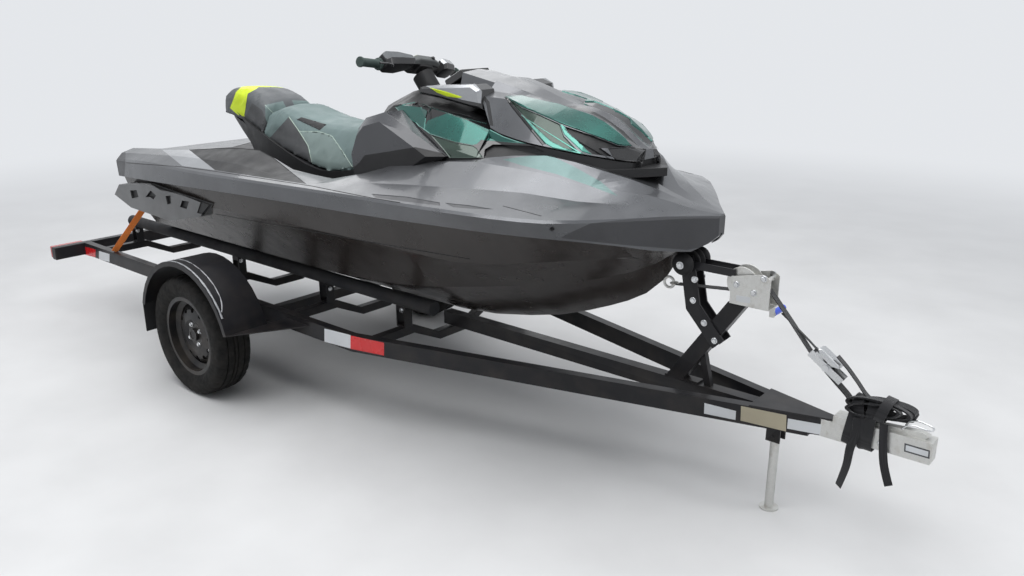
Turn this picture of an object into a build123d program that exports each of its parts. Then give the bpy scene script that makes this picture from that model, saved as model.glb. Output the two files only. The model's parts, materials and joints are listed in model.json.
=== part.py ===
"""Personal watercraft standing on its single-axle road trailer.

Millimetres. +X forward to the coupler, +Y to port, +Z up, ground at Z = 0.
All places are written with X = 0 at the trailer's axle, and main() moves each
finished piece so that the origin lies under the middle of the whole.
"""
from build123d import *
import os
from math import atan2, cos, degrees, radians, sin, tan

# Clearances
SEAT_GAP = 0.4          # between pieces that rest on each other
RUN_GAP = 0.05          # radial clearance of a turning fit
MOVE_GAP = 6.0          # between pieces that move past each other

# Trailer: wheels and axle
WHEEL_R = 286.0
TYRE_WIDTH = 175.0
WHEEL_Y = 735.0
BEAD_R = 176.0
RIM_LIP_R = 190.0
RIM_WIDTH = 140.0
RIM_WALL = 6.0
RIM_HOLES, RIM_HOLE_R, RIM_HOLE_AT = 12, 12.0, 118.0
DISC_OFFSET = 34.0      # the disc's outer face, outboard of the wheel's middle
STUB_R = 20.0
HUB_R = 38.0
HUB_LENGTH = 95.0
AXLE_SIZE = 50.0
AXLE_HALF = 640.0
SPRING_HALF = 330.0
SPRING_WIDTH = 50.0
LEAF = 8.0
SPRING_DROP, SPRING_EYE, SPRING_EYE_DROP = 14.0, 30.0, 22.0

# Trailer: frame
RAIL_HALF = 531.0
RAIL_WIDTH = 40.0
RAIL_HEIGHT = 72.0
RAIL_TOP = 414.0
RAIL_REAR = -1600.0
BEND_X = 840.0
RAIL_FRONT = 2640.0
RAIL_FRONT_HALF = 36.0
REAR_BAR_HALF = 705.0
REAR_BAR_DEPTH = 45.0
CROSS_X = (-1410.0, -340.0, 385.0, 920.0)
CROSS_SIZE = 40.0
CROSS_DIP = 75.0
CROSS_DIP_HALF = 130.0
CROSS_FLAT = 60.0
SPINE_WIDTH = 50.0
SPINE_HEIGHT = 60.0
SPINE_DROP = 8.0        # the spine's top below the rails'
CROSS_DROP = 4.0
NOSE_REAR = 2445.0
NOSE_TIP = 2712.0
NOSE_THICK = 6.0
NOSE_HALF, NOSE_TIP_HALF = 92.0, 18.0
LAMP_DEPTH, LAMP_WIDTH = 38.0, 182.0

# Trailer: fenders
FENDER_R = 372.0
FENDER_X = 40.0
FENDER_INNER = 640.0
FENDER_OUTER = 848.0
FENDER_THICK = 4.0
FENDER_LIP = 22.0
FENDER_STEPS = 16
STEP_ANGLE, STEP_DROP, STEP_THICK = 16.0, 20.0, 5.0
STAY_LENGTH = 90.0
FENDER_REAR_ANGLE = 163.5
FENDER_FRONT_ANGLE = 16.5
STEP_FRONT = 560.0
FLAP_INNER = 705.0
FLAP_LOW = 246.0
FLAP_THICK = 5.0

# Trailer: bunks
BUNK_Y = 290.0
BUNK_R = 31.0
BUNK_REAR = -1455.0
BUNK_FRONT = 1110.0
BRACKET_LONG, BRACKET_WIDE, BRACKET_WALL = 56.0, 44.0, 7.0

# Trailer: coupler and prop leg
COUPLER_REAR = 2716.0
COUPLER_FRONT = 3028.0
COUPLER_WIDTH = 62.0
BALL_X = 2975.0
BALL_Z = 392.0
BALL_R = 25.0
COUPLER_WALL = 5.0
COUPLER_LOW, COUPLER_TOP = 366.0, 440.0
TONGUE_LOW = 352.0      # underside of the coupler's tongue, in the frame's nose
TONGUE_LENGTH = 100.0   # how far the tongue reaches into the coupler
LATCH = ((2850, -1), (3000, -1), (3012, 12), (2990, 20), (2850, 9))    # x, and z above the coupler's top
LATCH_HALF = 12.0
LEG_X = 2515.0
LEG_R = 16.0
LEG_PIVOT_Z = 292.0
LEG_PIN_R = 6.0
LEG_HEAD = 18.0         # how far leg and ears reach past the pin
LEG_EAR_GAP, LEG_EAR_THICK, LEG_EAR_HALF = 4.0, 6.0, 26.0
FOOT_R = 34.0
FOOT_THICK = 6.0

# Trailer: winch post
ROLLER_X = 2141.0
ROLLER_Z = 866.0
ROLLER_R = 46.0
ROLLER_AXLE_R = 8.0
ROLLER_HALF = 22.0
ROLLER_WAIST = 14.0     # how much thinner the roller is at its middle
POST_PLATE = 6.0
WINCH_X = 2353.0
WINCH_Z = 828.0
DRUM_R = 30.0
FLANGE_R = 58.0
DRUM_HALF = 21.0
WINCH_SHAFT_R = 8.0
CRANK_LENGTH = 160.0
CRANK_X, CRANK_Z = 2436.0, 848.0
WINCH_FLOOR = 752.0
POST_HALF = 24.0        # half the width of the post between its side plates
# Outline of the plate behind the post that holds the roller, x and z
ARM_OUTLINE = ((2122, 894), (2160, 894), (2169, 868), (2200, 718), (2302, 604), (2262, 564), (2146, 690),
               (2113, 861))
POST_WIDTH = 58.0
POST_FOOT, POST_HEAD = 2104.0, (2352.0, 768.0)
POST_BASE = (2070.0, 2210.0, 8.0)   # where the base plate starts and ends, and its thickness
LINK_Z0, LINK_Z1 = 846.0, 874.0     # the link between roller and winch
STRUT_TOP, STRUT_FOOT, STRUT_WIDTH = (2205.0, 560.0), 2246.0, 26.0
DRUM_CHEEK = 3.0
WINCH_OUTLINE = ((-36, 0), (108, 0), (108, 110), (80, 124), (-36, 98))  # from the drum's x and the floor
WINCH_PLATE = 4.0
WINCH_SHAFT_HALF = 37.0
CRANK_ARM, CRANK_THICK = 18.0, 6.0
CRANK_Y = 54.0
HANDLE_R, HANDLE_LENGTH = 12.0, 90.0

# Craft: where the sections of hull and deck stand, from stern to bow
STATIONS = (-1030, -1000, -800, -560, -350, -150, 0, 130, 260, 400, 560, 720, 860, 1000, 1200, 1400,
            1560, 1700, 1800, 1880, 1960, 2040, 2100, 2140, 2180, 2220, 2250)
HULL_REAR, HULL_FRONT = -1000, 2100
# x, sheer y, sheer z: the joint of hull and deck
SHEER = (
    (-1030, 524, 891),
    (-300, 597, 938),
    (400, 612, 972),
    (1000, 606, 990),
    (1450, 562, 998),
    (1780, 495, 1000),
    (2010, 330, 978),
    (2100, 195, 945),
    (2180, 70, 930),
    (2250, 6, 985),
)
# x, keel z, chine y, chine z, knuckle y, knuckle z
HULL_TABLE = (
    (-1000, 432, 378, 606, 498, 806),
    (-300, 432, 378, 606, 570, 842),
    (400, 432, 378, 606, 592, 862),
    (1000, 434, 385, 640, 575, 868),
    (1450, 500, 300, 700, 455, 826),
    (1780, 612, 190, 760, 352, 872),
    (2010, 742, 90, 835, 205, 900),
    (2100, 885, 40, 900, 120, 920),
)
# x, band top y, top z, mid y, mid z, ridge y, ridge z, inner y, inner z, centre z
DECK_TABLE = (
    (-1030, 542, 976, 505, 1004, 440, 1022, 352, 1000, 1000),
    (-560, 592, 1010, 520, 1040, 425, 1060, 340, 1000, 1000),
    (-150, 618, 1018, 530, 1062, 420, 1104, 336, 1000, 1000),
    (130, 627, 1028, 535, 1070, 420, 1120, 336, 990, 990),
    (400, 627, 1036, 540, 1052, 438, 1062, 350, 990, 990),
    (720, 627, 1046, 560, 1056, 475, 1064, 380, 1010, 1010),
    (1000, 626, 1054, 520, 1086, 385, 1138, 310, 1136, 1130),
    (1400, 616, 1062, 478, 1112, 356, 1190, 332, 1200, 1180),
    (1700, 592, 1068, 425, 1122, 338, 1182, 296, 1236, 1200),
    (1880, 540, 1070, 352, 1104, 274, 1144, 208, 1192, 1168),
    (2040, 345, 1064, 225, 1092, 140, 1112, 60, 1116, 1108),
    (2180, 122, 1058, 78, 1062, 50, 1066, 25, 1067, 1068),
    (2250, 22, 1051, 14, 1052, 9, 1053, 5, 1053.5, 1054),
)
BAND_LIP = 14.0         # how far the band stands outside the hull
BAND_DROP = 7.0         # how far the band hangs over the hull's edge

# Craft: footwells, whose tubs hang from the deck
TUB_WALL = 8.0
WELL_INNER = 232.0
WELL_OUTER = 392.0
WELL_FLOOR = 800.0
WELL_REAR = -640.0
WELL_FRONT = 780.0
WELL_RAMP = 190.0
MAT_THICK = 6.0

# Craft: front bin under the hood
BIN_REAR = 1230.0
BIN_FRONT = 1640.0
BIN_HALF = 175.0
BIN_FLOOR = 900.0
HOOD_WALL = 14.0
# x, crown z, crest y, crest z, gutter y, gutter z, panel y, panel z, edge y, edge z
HOOD_BODY = (
    (1300, 1478, 104, 1466, 142, 1432, 206, 1416, 244, 1345),
    (1450, 1440, 88, 1430, 122, 1417, 212, 1412, 262, 1292),
    (1600, 1392, 66, 1386, 104, 1394, 222, 1370, 272, 1270),
    (1700, 1380, 45, 1368, 92, 1374, 200, 1340, 262, 1260),
    (1800, 1350, 42, 1334, 84, 1340, 172, 1308, 228, 1245),
    (1860, 1308, 38, 1294, 76, 1303, 134, 1284, 178, 1232),
    (1915, 1266, 30, 1260, 62, 1262, 84, 1258, 118, 1218),
    (1945, 1250, 26, 1248, 44, 1246, 56, 1243, 84, 1214),
)
# x, crown z, crest y, crest z, edge y, edge z: the narrow cowl over the gauge
HOOD_COWL = (
    (1110, 1499, 92, 1490, 122, 1384),
    (1420, 1446, 92, 1432, 134, 1318),
)
HOOD_COWL_FRONT = 1340.0
HOOD_BEVEL = ((1290, 1440), (1302, 1430), (1405, 1305), (1405, 1200), (1290, 1200))
# x, foot y, foot z, side y, side z, shoulder y, shoulder z, gutter y, gutter z, brow y, brow z, crown z
CONSOLE_REAR = (
    (700, 205, 985, 225, 1120, 172, 1296, 134, 1334, 104, 1346, 1350),
    (900, 300, 1020, 312, 1190, 246, 1362, 142, 1396, 112, 1416, 1422),
    (1104, 345, 1050, 336, 1230, 272, 1360, 124, 1376, 92, 1430, 1438),
)
# x, foot y, foot z, side y, side z, shoulder y, shoulder z: under the cowl
CONSOLE_MIDDLE = (
    (1104, 345, 1050, 336, 1230, 272, 1360),
    (1300, 344, 1075, 336, 1222, 268, 1330),
    (1400, 342, 1090, 332, 1205, 262, 1290),
)
# x, foot y, foot z, side y, side z: under the hood's body, whose edge gives the rest
CONSOLE_FRONT = (
    (1400, 342, 1090, 332, 1205),
    (1650, 300, 1140, 294, 1190),
    (1800, 240, 1120, 240, 1165),
    (1900, 155, 1100, 158, 1150),
    (1935, 110, 1080, 112, 1130),
)
CONSOLE_RIM = 30.0      # height of the console's rim below the hood
PANEL_THICK = 5.0
HOOD_PIN_X, HOOD_PIN_Z, HOOD_PIN_R = 1946.0, 1204.0, 3.0
HINGE_LUG_R = 6.0
HINGE_Y = 52.0          # inner side of the hood's two lugs
LID_X = 742.0
LID_LENGTH, LID_WIDTH, LID_THICK = 62.0, 180.0, 9.0
LID_GAP = 1.5
LID_LEDGE = 10.0        # how far below the console's face the lid lies
POCKET_DEPTH = 110.0
# Outlines in the side view, x and z
SIDE_PANEL = ((862, 1348), (960, 1372), (1104, 1362), (1262, 1340), (1440, 1302), (1640, 1262), (1436, 1250),
              (1416, 1232), (1434, 1205), (1260, 1190), (1190, 1235), (1044, 1300))
KNEE_POD = ((733, 1012), (712, 1165), (760, 1262), (812, 1310), (932, 1342), (1139, 1252), (1262, 1196),
            (1010, 1050), (831, 1030))
POD_INNER, POD_OUTER = 190.0, 392.0
POD_BEVEL = 34.0
MIRROR = ((1000, 1408), (1000, 1434), (1030, 1440), (1285, 1458), (1325, 1440), (1340, 1368), (1290, 1372),
          (1110, 1398))
MIRROR_INNER, MIRROR_OUTER = 146.0, 238.0
MIRROR_FOOT = ((1180, 1410), (1180, 1440), (1280, 1440), (1280, 1400))
MIRROR_BEVEL = 10.0
SPLITTER = ((2022, 0), (1985, 60), (1900, 170), (1790, 258), (1700, 300), (1700, 0))
SPLITTER_Z0, SPLITTER_Z1 = 1160.0, 1190.0
GAUGE_X, GAUGE_Z = 1052.0, 1462.0
GAUGE_SIZE = (110.0, 170.0, 34.0)
GAUGE_TILT = 28.0

# Craft: jet drive
PUMP_Z = 535.0
PUMP_R = 96.0
PUMP_BORE_R = 84.0
PUMP_REAR = -905.0
PUMP_FRONT = -650.0
IMPELLER_R = 78.0
IMPELLER_X = -745.0
SHAFT_R = 14.0
NOZZLE_PIVOT_X = -935.0
VANE_REAR = -842.0
VENTURI_R = 48.0
PUMP_LIP = 8.0          # how far the flange stands out
HUB_CONE_R = 30.0
VANE_COUNT, VANE_ROOT, VANE_LONG, VANE_THICK = 5, 24.0, 34.0, 5.0
BLADE_COUNT, BLADE_PITCH = 4, 35.0
EAR_Y = 94.0
EAR_THICK, EAR_HALF = 6.0, 14.0
PIN_R = 6.0
COLLAR_IN, COLLAR_OUT = 60.0, 66.0
COLLAR_FRONT, COLLAR_STEP = 16.0, -36.0     # along the nozzle from its pins
SPOUT_BORE, SPOUT_R = 40.0, 48.0
LEVER = (-34.0, -14.0)
NOZZLE_REACH = 84.0
BUCKET_IN, BUCKET_OUT = 110.0, 116.0
BUCKET_HALF = 104.0
BUCKET_ANGLES = (78, 100, 125, 150)
BUCKET_ARM = ((-10, -16), (16, -10), (18, 20), (8, BUCKET_OUT - 8), (-60, BUCKET_OUT - 20), (-96, 60))
TUNNEL_HALF = 135.0
TUNNEL_TOP = 672.0
TUNNEL_FRONT = -630.0
PLATE_THICK = 8.0
PLATE_TOP = 434.6       # under the pump's flange
PLATE_SIDE = 520.0      # how high the plate's sides reach inside the tunnel
STEER_TURN = 11.0       # degrees that the bars stand turned to port
NOZZLE_RATIO = 0.8
NOZZLE_TURN = 20.0      # degrees that the nozzle turns each way from straight

# Craft: steering
BAR_X = 760.0
BAR_Z = 1486.0
BAR_HALF = 390.0
BAR_R = 11.0
GRIP_R = 17.0
GRIP_LENGTH = 122.0
COLUMN_RAKE = 40.0
COLUMN_R = 46.0
COLUMN_LOW = -190.0     # along the column, from the bars' centre
COLUMN_TOP = -34.0
STEM_R = 16.0
# Blocks on the bars: forward of and above the bars' centre, then length, width and height
BAR_PAD = (10.0, 16.0, 96.0, 150.0, 50.0)
BAR_CLAMP = (30.0, 4.0, 70.0, 90.0, 44.0)
BAR_POD = (22.0, 2.0, 84.0, 120.0, 52.0)
BAR_POD_Y = 190.0

# Craft: seats
# x, foot y, foot z, shoulder y, shoulder z, crown z
SEAT_FRONT = (
    (-192, 188, 1112, 128, 1248, 1262),
    (-118, 194, 1100, 130, 1268, 1282),
    (30, 205, 1072, 130, 1238, 1252),
    (227, 218, 1032, 126, 1204, 1219),
    (345, 225, 1014, 124, 1202, 1217),
    (560, 212, 1040, 120, 1216, 1234),
    (694, 190, 1072, 110, 1258, 1274),
)
SEAT_REAR = (
    (-708, 60, 1194, 46, 1250, 1260),
    (-600, 128, 1208, 92, 1324, 1336),
    (-430, 158, 1190, 116, 1330, 1343),
    (-300, 172, 1164, 126, 1314, 1328),
    (-196, 187, 1134, 130, 1262, 1276),
)
# x, foot y, foot z, top y, top z
SEAT_BASE = (
    (-640, 50, 1228, 62, 1252),
    (-560, 95, 1190, 118, 1252),
    (-350, 150, 1085, 172, 1200),
    (-180, 195, 985, 198, 1150),
    (60, 215, 985, 216, 1076),
    (330, 228, 975, 230, 1022),
    (560, 222, 985, 220, 1050),
    (694, 200, 990, 196, 1082),
)

# Craft: engine, on its beds under the seats
ENGINE_X0, ENGINE_X1 = -200.0, 430.0
ENGINE_HALF = 168.0
ENGINE_Z0, ENGINE_Z1 = 530.0, 900.0
BAY_GAP = 12.0
INTAKE_HALF = 82.0
INTAKE_FRONT = -250.0
GRATE_Z, GRATE_THICK = 474.0, 11.0
GRATE_CROSS_X, GRATE_CROSS = -420.0, 14.0
GRATE_BARS, GRATE_BAR = (-54, -18, 18, 54), 8.0
BUMPER_THICK = 26.0
EYE_R, EYE_WIRE = 20.0, 5.0
BOW_EYE_X, BOW_EYE_Z = 2040.0, 768.0
STERN_EYE_Y, STERN_EYE_Z = 330.0, 790.0
HOOK_X, HOOK_R, HOOK_WIRE = 2077.5, 13.0, 4.0
STRAP_WIDTH, STRAP_THICK = 34.0, 3.0

# Sponson outline in the side view, and how far it stands out
SPONSON = ((-965, 800), (-900, 862), (-620, 896), (-30, 874), (-130, 800), (-420, 738), (-800, 752))
SPONSON_INNER, SPONSON_OUTER = 430.0, 606.0


def mirrored(shape):
    """A piece and its twin on the other side of the centreline."""
    return shape + mirror(shape, about=Plane.XZ)


def section(x, half):
    """Closed section across the craft, from its port half, bottom middle first."""
    port = [(x, y, z) for y, z in half]
    starboard = [(x, -y, z) for y, z in reversed(half) if y > 0.01]
    return make_face(Polyline(*port, *starboard, close=True))


def row_at(table, x):
    """Row of a station table at any x, by cubics whose slopes never overshoot."""
    xs = [row[0] for row in table]
    i = max(k for k in range(len(xs) - 1) if xs[k] <= x or k == 0)
    step = xs[i + 1] - xs[i]
    t = (x - xs[i]) / step

    def slope(k, column):
        if k == 0 or k == len(xs) - 1:
            return None
        before = (table[k][column] - table[k - 1][column]) / (xs[k] - xs[k - 1])
        after = (table[k + 1][column] - table[k][column]) / (xs[k + 1] - xs[k])
        if before * after <= 0:
            return 0.0
        return 2 * before * after / (before + after)

    row = [x]
    for column in range(1, len(table[0])):
        a, b = table[i][column], table[i + 1][column]
        mean = (b - a) / step
        m0 = slope(i, column)
        m1 = slope(i + 1, column)
        m0 = mean if m0 is None else m0
        m1 = mean if m1 is None else m1
        h = (1 + 2 * t) * (1 - t) ** 2 * a + t * (1 - t) ** 2 * step * m0
        row.append(h + t * t * (3 - 2 * t) * b + t * t * (t - 1) * step * m1)
    return row


def block(x0, x1, y0, y1, z0, z1):
    """Box between two corners."""
    middle = ((x0 + x1) / 2, (y0 + y1) / 2, (z0 + z1) / 2)
    return Pos(*middle) * Box(x1 - x0, y1 - y0, z1 - z0)


def slab_xz(points, y0, y1):
    """Outline in the side view, drawn as x, z, and thick from y0 to y1."""
    face = make_face(Polyline(*[(x, y0, z) for x, z in points], close=True))
    return extrude(face, amount=y1 - y0, dir=(0, 1, 0))


def slab_xy(points, z0, z1):
    """Outline in the top view, thick from z0 to z1."""
    face = make_face(Polyline(*[(x, y, z0) for x, y in points], close=True))
    return extrude(face, amount=z1 - z0, dir=(0, 0, 1))


def slab_yz(points, x0, x1):
    """Outline seen from the end, drawn as y, z, and thick from x0 to x1."""
    face = make_face(Polyline(*[(x0, y, z) for y, z in points], close=True))
    return extrude(face, amount=x1 - x0, dir=(1, 0, 0))


def rod_y(x, z, y0, y1, radius):
    """Round bar across the craft."""
    return Pos(x, (y0 + y1) / 2, z) * Rot(90, 0, 0) * Cylinder(radius, y1 - y0)


def rod_x(x0, x1, y, z, radius):
    """Round bar along the craft."""
    return Pos((x0 + x1) / 2, y, z) * Rot(0, 90, 0) * Cylinder(radius, x1 - x0)


def rod(start, end, radius):
    """Round bar between two points."""
    a, b = Vector(*start), Vector(*end)
    return extrude(Plane(origin=a, z_dir=b - a) * Circle(radius), amount=(b - a).length)


# Hull and deck


def hull_half(row):
    x, keel, cy, cz, ky, kz = row
    _, sy, sz = row_at(SHEER, x)
    return [(0, keel), (cy, cz), (ky, kz), (sy, sz), (0, sz)]


def deck_half(row):
    x, ty, tz, my, mz, ry, rz, iy, iz, cz = row
    _, sy, sz = row_at(SHEER, x)
    inner = sy + SEAT_GAP
    return [(0, sz + SEAT_GAP), (inner, sz + SEAT_GAP), (inner, sz - BAND_DROP),
            (sy + BAND_LIP, sz - BAND_DROP), (ty, tz - 10), (ty - 8, tz), (my, mz), (ry, rz),
            (iy, iz), (0, cz)]


def along(table, half, stations):
    """Solid through sections read from a table at the given places."""
    return loft([section(x, half(row_at(table, x))) for x in stations], ruled=True)


def footwell(grow):
    """Footwell on the port side, grown by the wall of its tub."""
    floor = WELL_FLOOR - grow
    top = 1300.0
    run = WELL_RAMP
    points = [(WELL_REAR - grow - run * 1.6, top), (WELL_REAR - grow, floor), (WELL_FRONT + grow, floor),
              (WELL_FRONT + grow + run, top)]
    return slab_xz(points, WELL_INNER - grow, WELL_OUTER + grow)


def jet_tunnel():
    return block(-1100, TUNNEL_FRONT, -TUNNEL_HALF, TUNNEL_HALF, 300, TUNNEL_TOP)


def intake_duct(gap=0.0):
    low = HULL_TABLE[0][1] + 8
    points = [(INTAKE_FRONT, 380), (TUNNEL_FRONT - 1, 380), (TUNNEL_FRONT - 1, PUMP_Z + PUMP_BORE_R - gap),
              (TUNNEL_FRONT + 70, PUMP_Z + PUMP_BORE_R - gap), (INTAKE_FRONT, low - 1.2 * gap)]
    return slab_xz(points, -INTAKE_HALF + gap, INTAKE_HALF - gap)


def engine_bay():
    g = BAY_GAP
    return block(ENGINE_X0 - g, ENGINE_X1 + g, -ENGINE_HALF - g, ENGINE_HALF + g, ENGINE_Z0, 1200)


def bin_well():
    return block(BIN_REAR, BIN_FRONT, -BIN_HALF, BIN_HALF, BIN_FLOOR, 1500)


def shaft_way():
    return rod_x(TUNNEL_FRONT - 60, ENGINE_X0, 0, PUMP_Z, SHAFT_R + MOVE_GAP)


def hull_skin():
    return along(HULL_TABLE, hull_half, [x for x in STATIONS if HULL_REAR <= x <= HULL_FRONT])


def hull():
    body = hull_skin()
    for cut in (jet_tunnel(), intake_duct(), engine_bay(), bin_well(), shaft_way()):
        body -= cut
    return body - mirrored(footwell(TUB_WALL + SEAT_GAP))


def deck_skin():
    return along(DECK_TABLE, deck_half, STATIONS)


def deck():
    body = deck_skin()
    tub = footwell(TUB_WALL) & block(-2000, 2000, 0, 700, 0, 985)
    body += mirrored(tub)
    return body - mirrored(footwell(0)) - bin_well()


def footwell_mats():
    floor = block(WELL_REAR + 20, WELL_FRONT - 20, WELL_INNER + 8, WELL_OUTER - 8,
                  WELL_FLOOR + SEAT_GAP, WELL_FLOOR + SEAT_GAP + MAT_THICK)
    return mirrored(floor)


def stern_bumper():
    _, half, foot = row_at(SHEER, STATIONS[0])
    top = DECK_TABLE[0][2]
    x1 = STATIONS[0] - SEAT_GAP
    outer = half + BAND_LIP
    points = [(x1, outer), (x1 - BUMPER_THICK, outer - 40), (x1 - BUMPER_THICK, 40 - outer), (x1, -outer)]
    return slab_xy(points, foot - BAND_DROP, top)


def sponsons():
    body = slab_xz(SPONSON, SPONSON_INNER, SPONSON_OUTER)
    return mirrored(body) - hull_skin()


def eye(x, z, side):
    """Ring of a tow eye standing out of the hull, side 1 forward and -1 aft."""
    return Pos(x + side * (EYE_R - EYE_WIRE), 0, z) * Rot(90, 0, 0) * Torus(EYE_R, EYE_WIRE)


def tow_eyes():
    bow = eye(BOW_EYE_X, BOW_EYE_Z, 1)
    stern = mirrored(Pos(0, STERN_EYE_Y, 0) * eye(HULL_REAR, STERN_EYE_Z, -1))
    return bow + stern - hull_skin()


def engine():
    return block(ENGINE_X0, ENGINE_X1, -ENGINE_HALF, ENGINE_HALF, ENGINE_Z0 + SEAT_GAP, ENGINE_Z1)


# Console, hood and what they carry


def hood_half(row, inset=0.0, drop=0.0):
    x, crown, cy, cz, gy, gz, py, pz, ey, ez = row
    return [(0, ez - drop), (ey - inset, ez - drop), (py - inset * 0.7, pz - inset), (gy - inset * 0.4, gz - inset),
            (cy, cz - inset), (0, crown - inset)]


def cowl_half(row):
    x, crown, cy, cz, ey, ez = row
    return [(0, ez), (ey, ez), (cy, cz), (0, crown)]


def hood_body(inset=0.0, drop=0.0):
    """The hood ahead of its cowl, whose edges run in to the nose."""
    return along(HOOD_BODY, lambda row: hood_half(row, inset, drop),
                 (1300, 1375, 1450, 1525, 1600, 1650, 1700, 1750, 1800, 1860, 1915, 1945))


def hood_skin():
    bevel = slab_xz(HOOD_BEVEL, HOOD_COWL[1][4] + 6, 400)
    cowl = along(HOOD_COWL, cowl_half, (HOOD_COWL[0][0], HOOD_COWL_FRONT))
    return hood_body() - mirrored(bevel) + cowl


def hinge_lug(y, z_end):
    """Lug around the hood's pin, joined to what carries it at z_end."""
    r = HINGE_LUG_R
    low, high = min(HOOD_PIN_Z, z_end), max(HOOD_PIN_Z, z_end)
    lug = block(HOOD_PIN_X - r, HOOD_PIN_X + r, y, y + r, low, high)
    return lug + rod_y(HOOD_PIN_X, HOOD_PIN_Z, y, y + r, r)


def hood():
    rear = HOOD_COWL_FRONT + HOOD_WALL
    hollow = hood_body(HOOD_WALL, 1.0) & block(rear, HOOD_BODY[-3][0], -400, 400, 1000, 1600)
    lug = hinge_lug(HINGE_Y, HOOD_BODY[-1][-1] + 2) - rod_y(HOOD_PIN_X, HOOD_PIN_Z, 0, 200, HOOD_PIN_R + RUN_GAP)
    return hood_skin() - hollow + mirrored(lug)


def console_half(row):
    x, fy, fz, wy, wz, sy, sz, gy, gz, by, bz, crown = row
    return [(0, fz), (fy, fz), (wy, wz), (sy, sz), (gy, gz), (by, bz), (0, crown)]


def console_middle_half(row):
    x, fy, fz, wy, wz, sy, sz = row
    ey, ez = row_at(HOOD_COWL, max(x, HOOD_COWL[0][0]))[4:]
    if x >= HOOD_BODY[0][0]:
        ez = row_at(HOOD_BODY, x)[9]
    return [(0, fz), (fy, fz), (wy, wz), (sy, sz), (ey, ez - MOVE_GAP), (0, ez - MOVE_GAP)]


def console_front_half(row):
    x, fy, fz, wy, wz = row
    ey, ez = row_at(HOOD_BODY, x)[8:]
    top = ez - MOVE_GAP
    return [(0, fz), (fy, fz), (wy, wz), (ey + 4, top - CONSOLE_RIM), (ey, top), (0, top)]


def console_parts(grow=0.0):
    """The console's three lengths, grown sideways by the side panels' thickness."""
    lengths = ((CONSOLE_REAR, console_half, (700, 770, 840, 900, 970, 1040, 1104)),
               (CONSOLE_MIDDLE, console_middle_half, (1104, 1200, 1300, 1400)),
               (CONSOLE_FRONT, console_front_half, (1400, 1475, 1550, 1650, 1730, 1800, 1855, 1900, 1935)))
    body = None
    for table, half, stations in lengths:
        part = along(table, lambda row: grown(half(row), grow), stations)
        body = part if body is None else body + part
    return body


def console_skin():
    return console_parts()


def console():
    return console_skin() - deck_skin() - bin_well() - glovebox() - column_core(SEAT_GAP)


def lid_place():
    """Plane of the glovebox lid, on the slope behind the bars."""
    behind = row_at(CONSOLE_REAR, LID_X - LID_LENGTH / 2)[-1]
    ahead = row_at(CONSOLE_REAR, LID_X + LID_LENGTH / 2)[-1]
    slope = degrees(atan2(ahead - behind, LID_LENGTH))
    return Pos(LID_X, 0, (behind + ahead) / 2) * Rot(0, -slope, 0)


def glovebox():
    pocket = Pos(0, 0, -5 - POCKET_DEPTH / 2) * Box(LID_LENGTH - 12, LID_WIDTH - 12, POCKET_DEPTH)
    recess = Pos(0, 0, 30 - LID_LEDGE) * Box(LID_LENGTH + 2 * LID_GAP, LID_WIDTH + 2 * LID_GAP, 60)
    return lid_place() * (pocket + recess)


def glovebox_lid():
    return lid_place() * Pos(0, 0, LID_THICK / 2 + SEAT_GAP - LID_LEDGE) * Box(LID_LENGTH, LID_WIDTH, LID_THICK)


def side_panels():
    body = console_parts(PANEL_THICK) & slab_xz(SIDE_PANEL, 180, 420)
    body = body - console_skin() - deck_skin()
    return mirrored(body)


def grown(points, by):
    return [(y + by if y > 0 else 0, z) for y, z in points]


def knee_pods():
    body = slab_xz(KNEE_POD, POD_INNER, POD_OUTER)
    outer = body.faces().sort_by(Axis.Y)[-1]
    body = chamfer(outer.edges(), POD_BEVEL)
    body = body - console_skin() - deck_skin() - side_panels() - seat(SEAT_FRONT, SEAT_GAP)
    return mirrored(body)


def splitter():
    port = slab_xy(SPLITTER, SPLITTER_Z0, SPLITTER_Z1)
    body = mirrored(port) - deck_skin() - console_skin()
    lug = hinge_lug(HINGE_Y + HINGE_LUG_R + 1, SPLITTER_Z1 - 1)
    pin = rod_y(HOOD_PIN_X, HOOD_PIN_Z, HINGE_Y - 3, HINGE_Y + HINGE_LUG_R + 4, HOOD_PIN_R)
    return body + mirrored(lug + pin)


def mirrors():
    """Mirrors on the hood's cowl, which lift with it."""
    body = slab_xz(MIRROR, MIRROR_INNER, MIRROR_OUTER)
    outer = body.faces().sort_by(Axis.Y)[-1]
    body = chamfer(outer.edges(), MIRROR_BEVEL)
    foot = slab_xz(MIRROR_FOOT, HOOD_COWL[0][2], MIRROR_INNER + 1)
    return mirrored(body + foot - hood_skin())


def gauge():
    body = Pos(GAUGE_X, 0, GAUGE_Z) * Rot(0, -GAUGE_TILT, 0) * Box(*GAUGE_SIZE)
    return (body - console_skin()) & block(0, HOOD_COWL[0][0] - MOVE_GAP, -300, 300, 1000, 2000)


# Seats


def seat_half(row):
    x, fy, fz, sy, sz, crown = row
    return [(0, fz), (fy, fz), (fy - 6, fz + 40), (sy + 14, sz - 12), (sy - 16, sz + 6), (0, crown)]


def seat(table, grow=0.0):
    first, last = table[0][0], table[-1][0]
    count = 8
    places = [first + (last - first) * k / count for k in range(count + 1)]
    return along(table, lambda row: grown(seat_half(row), grow), places)


def seat_front():
    return seat(SEAT_FRONT)


def seat_rear():
    return seat(SEAT_REAR)


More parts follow.
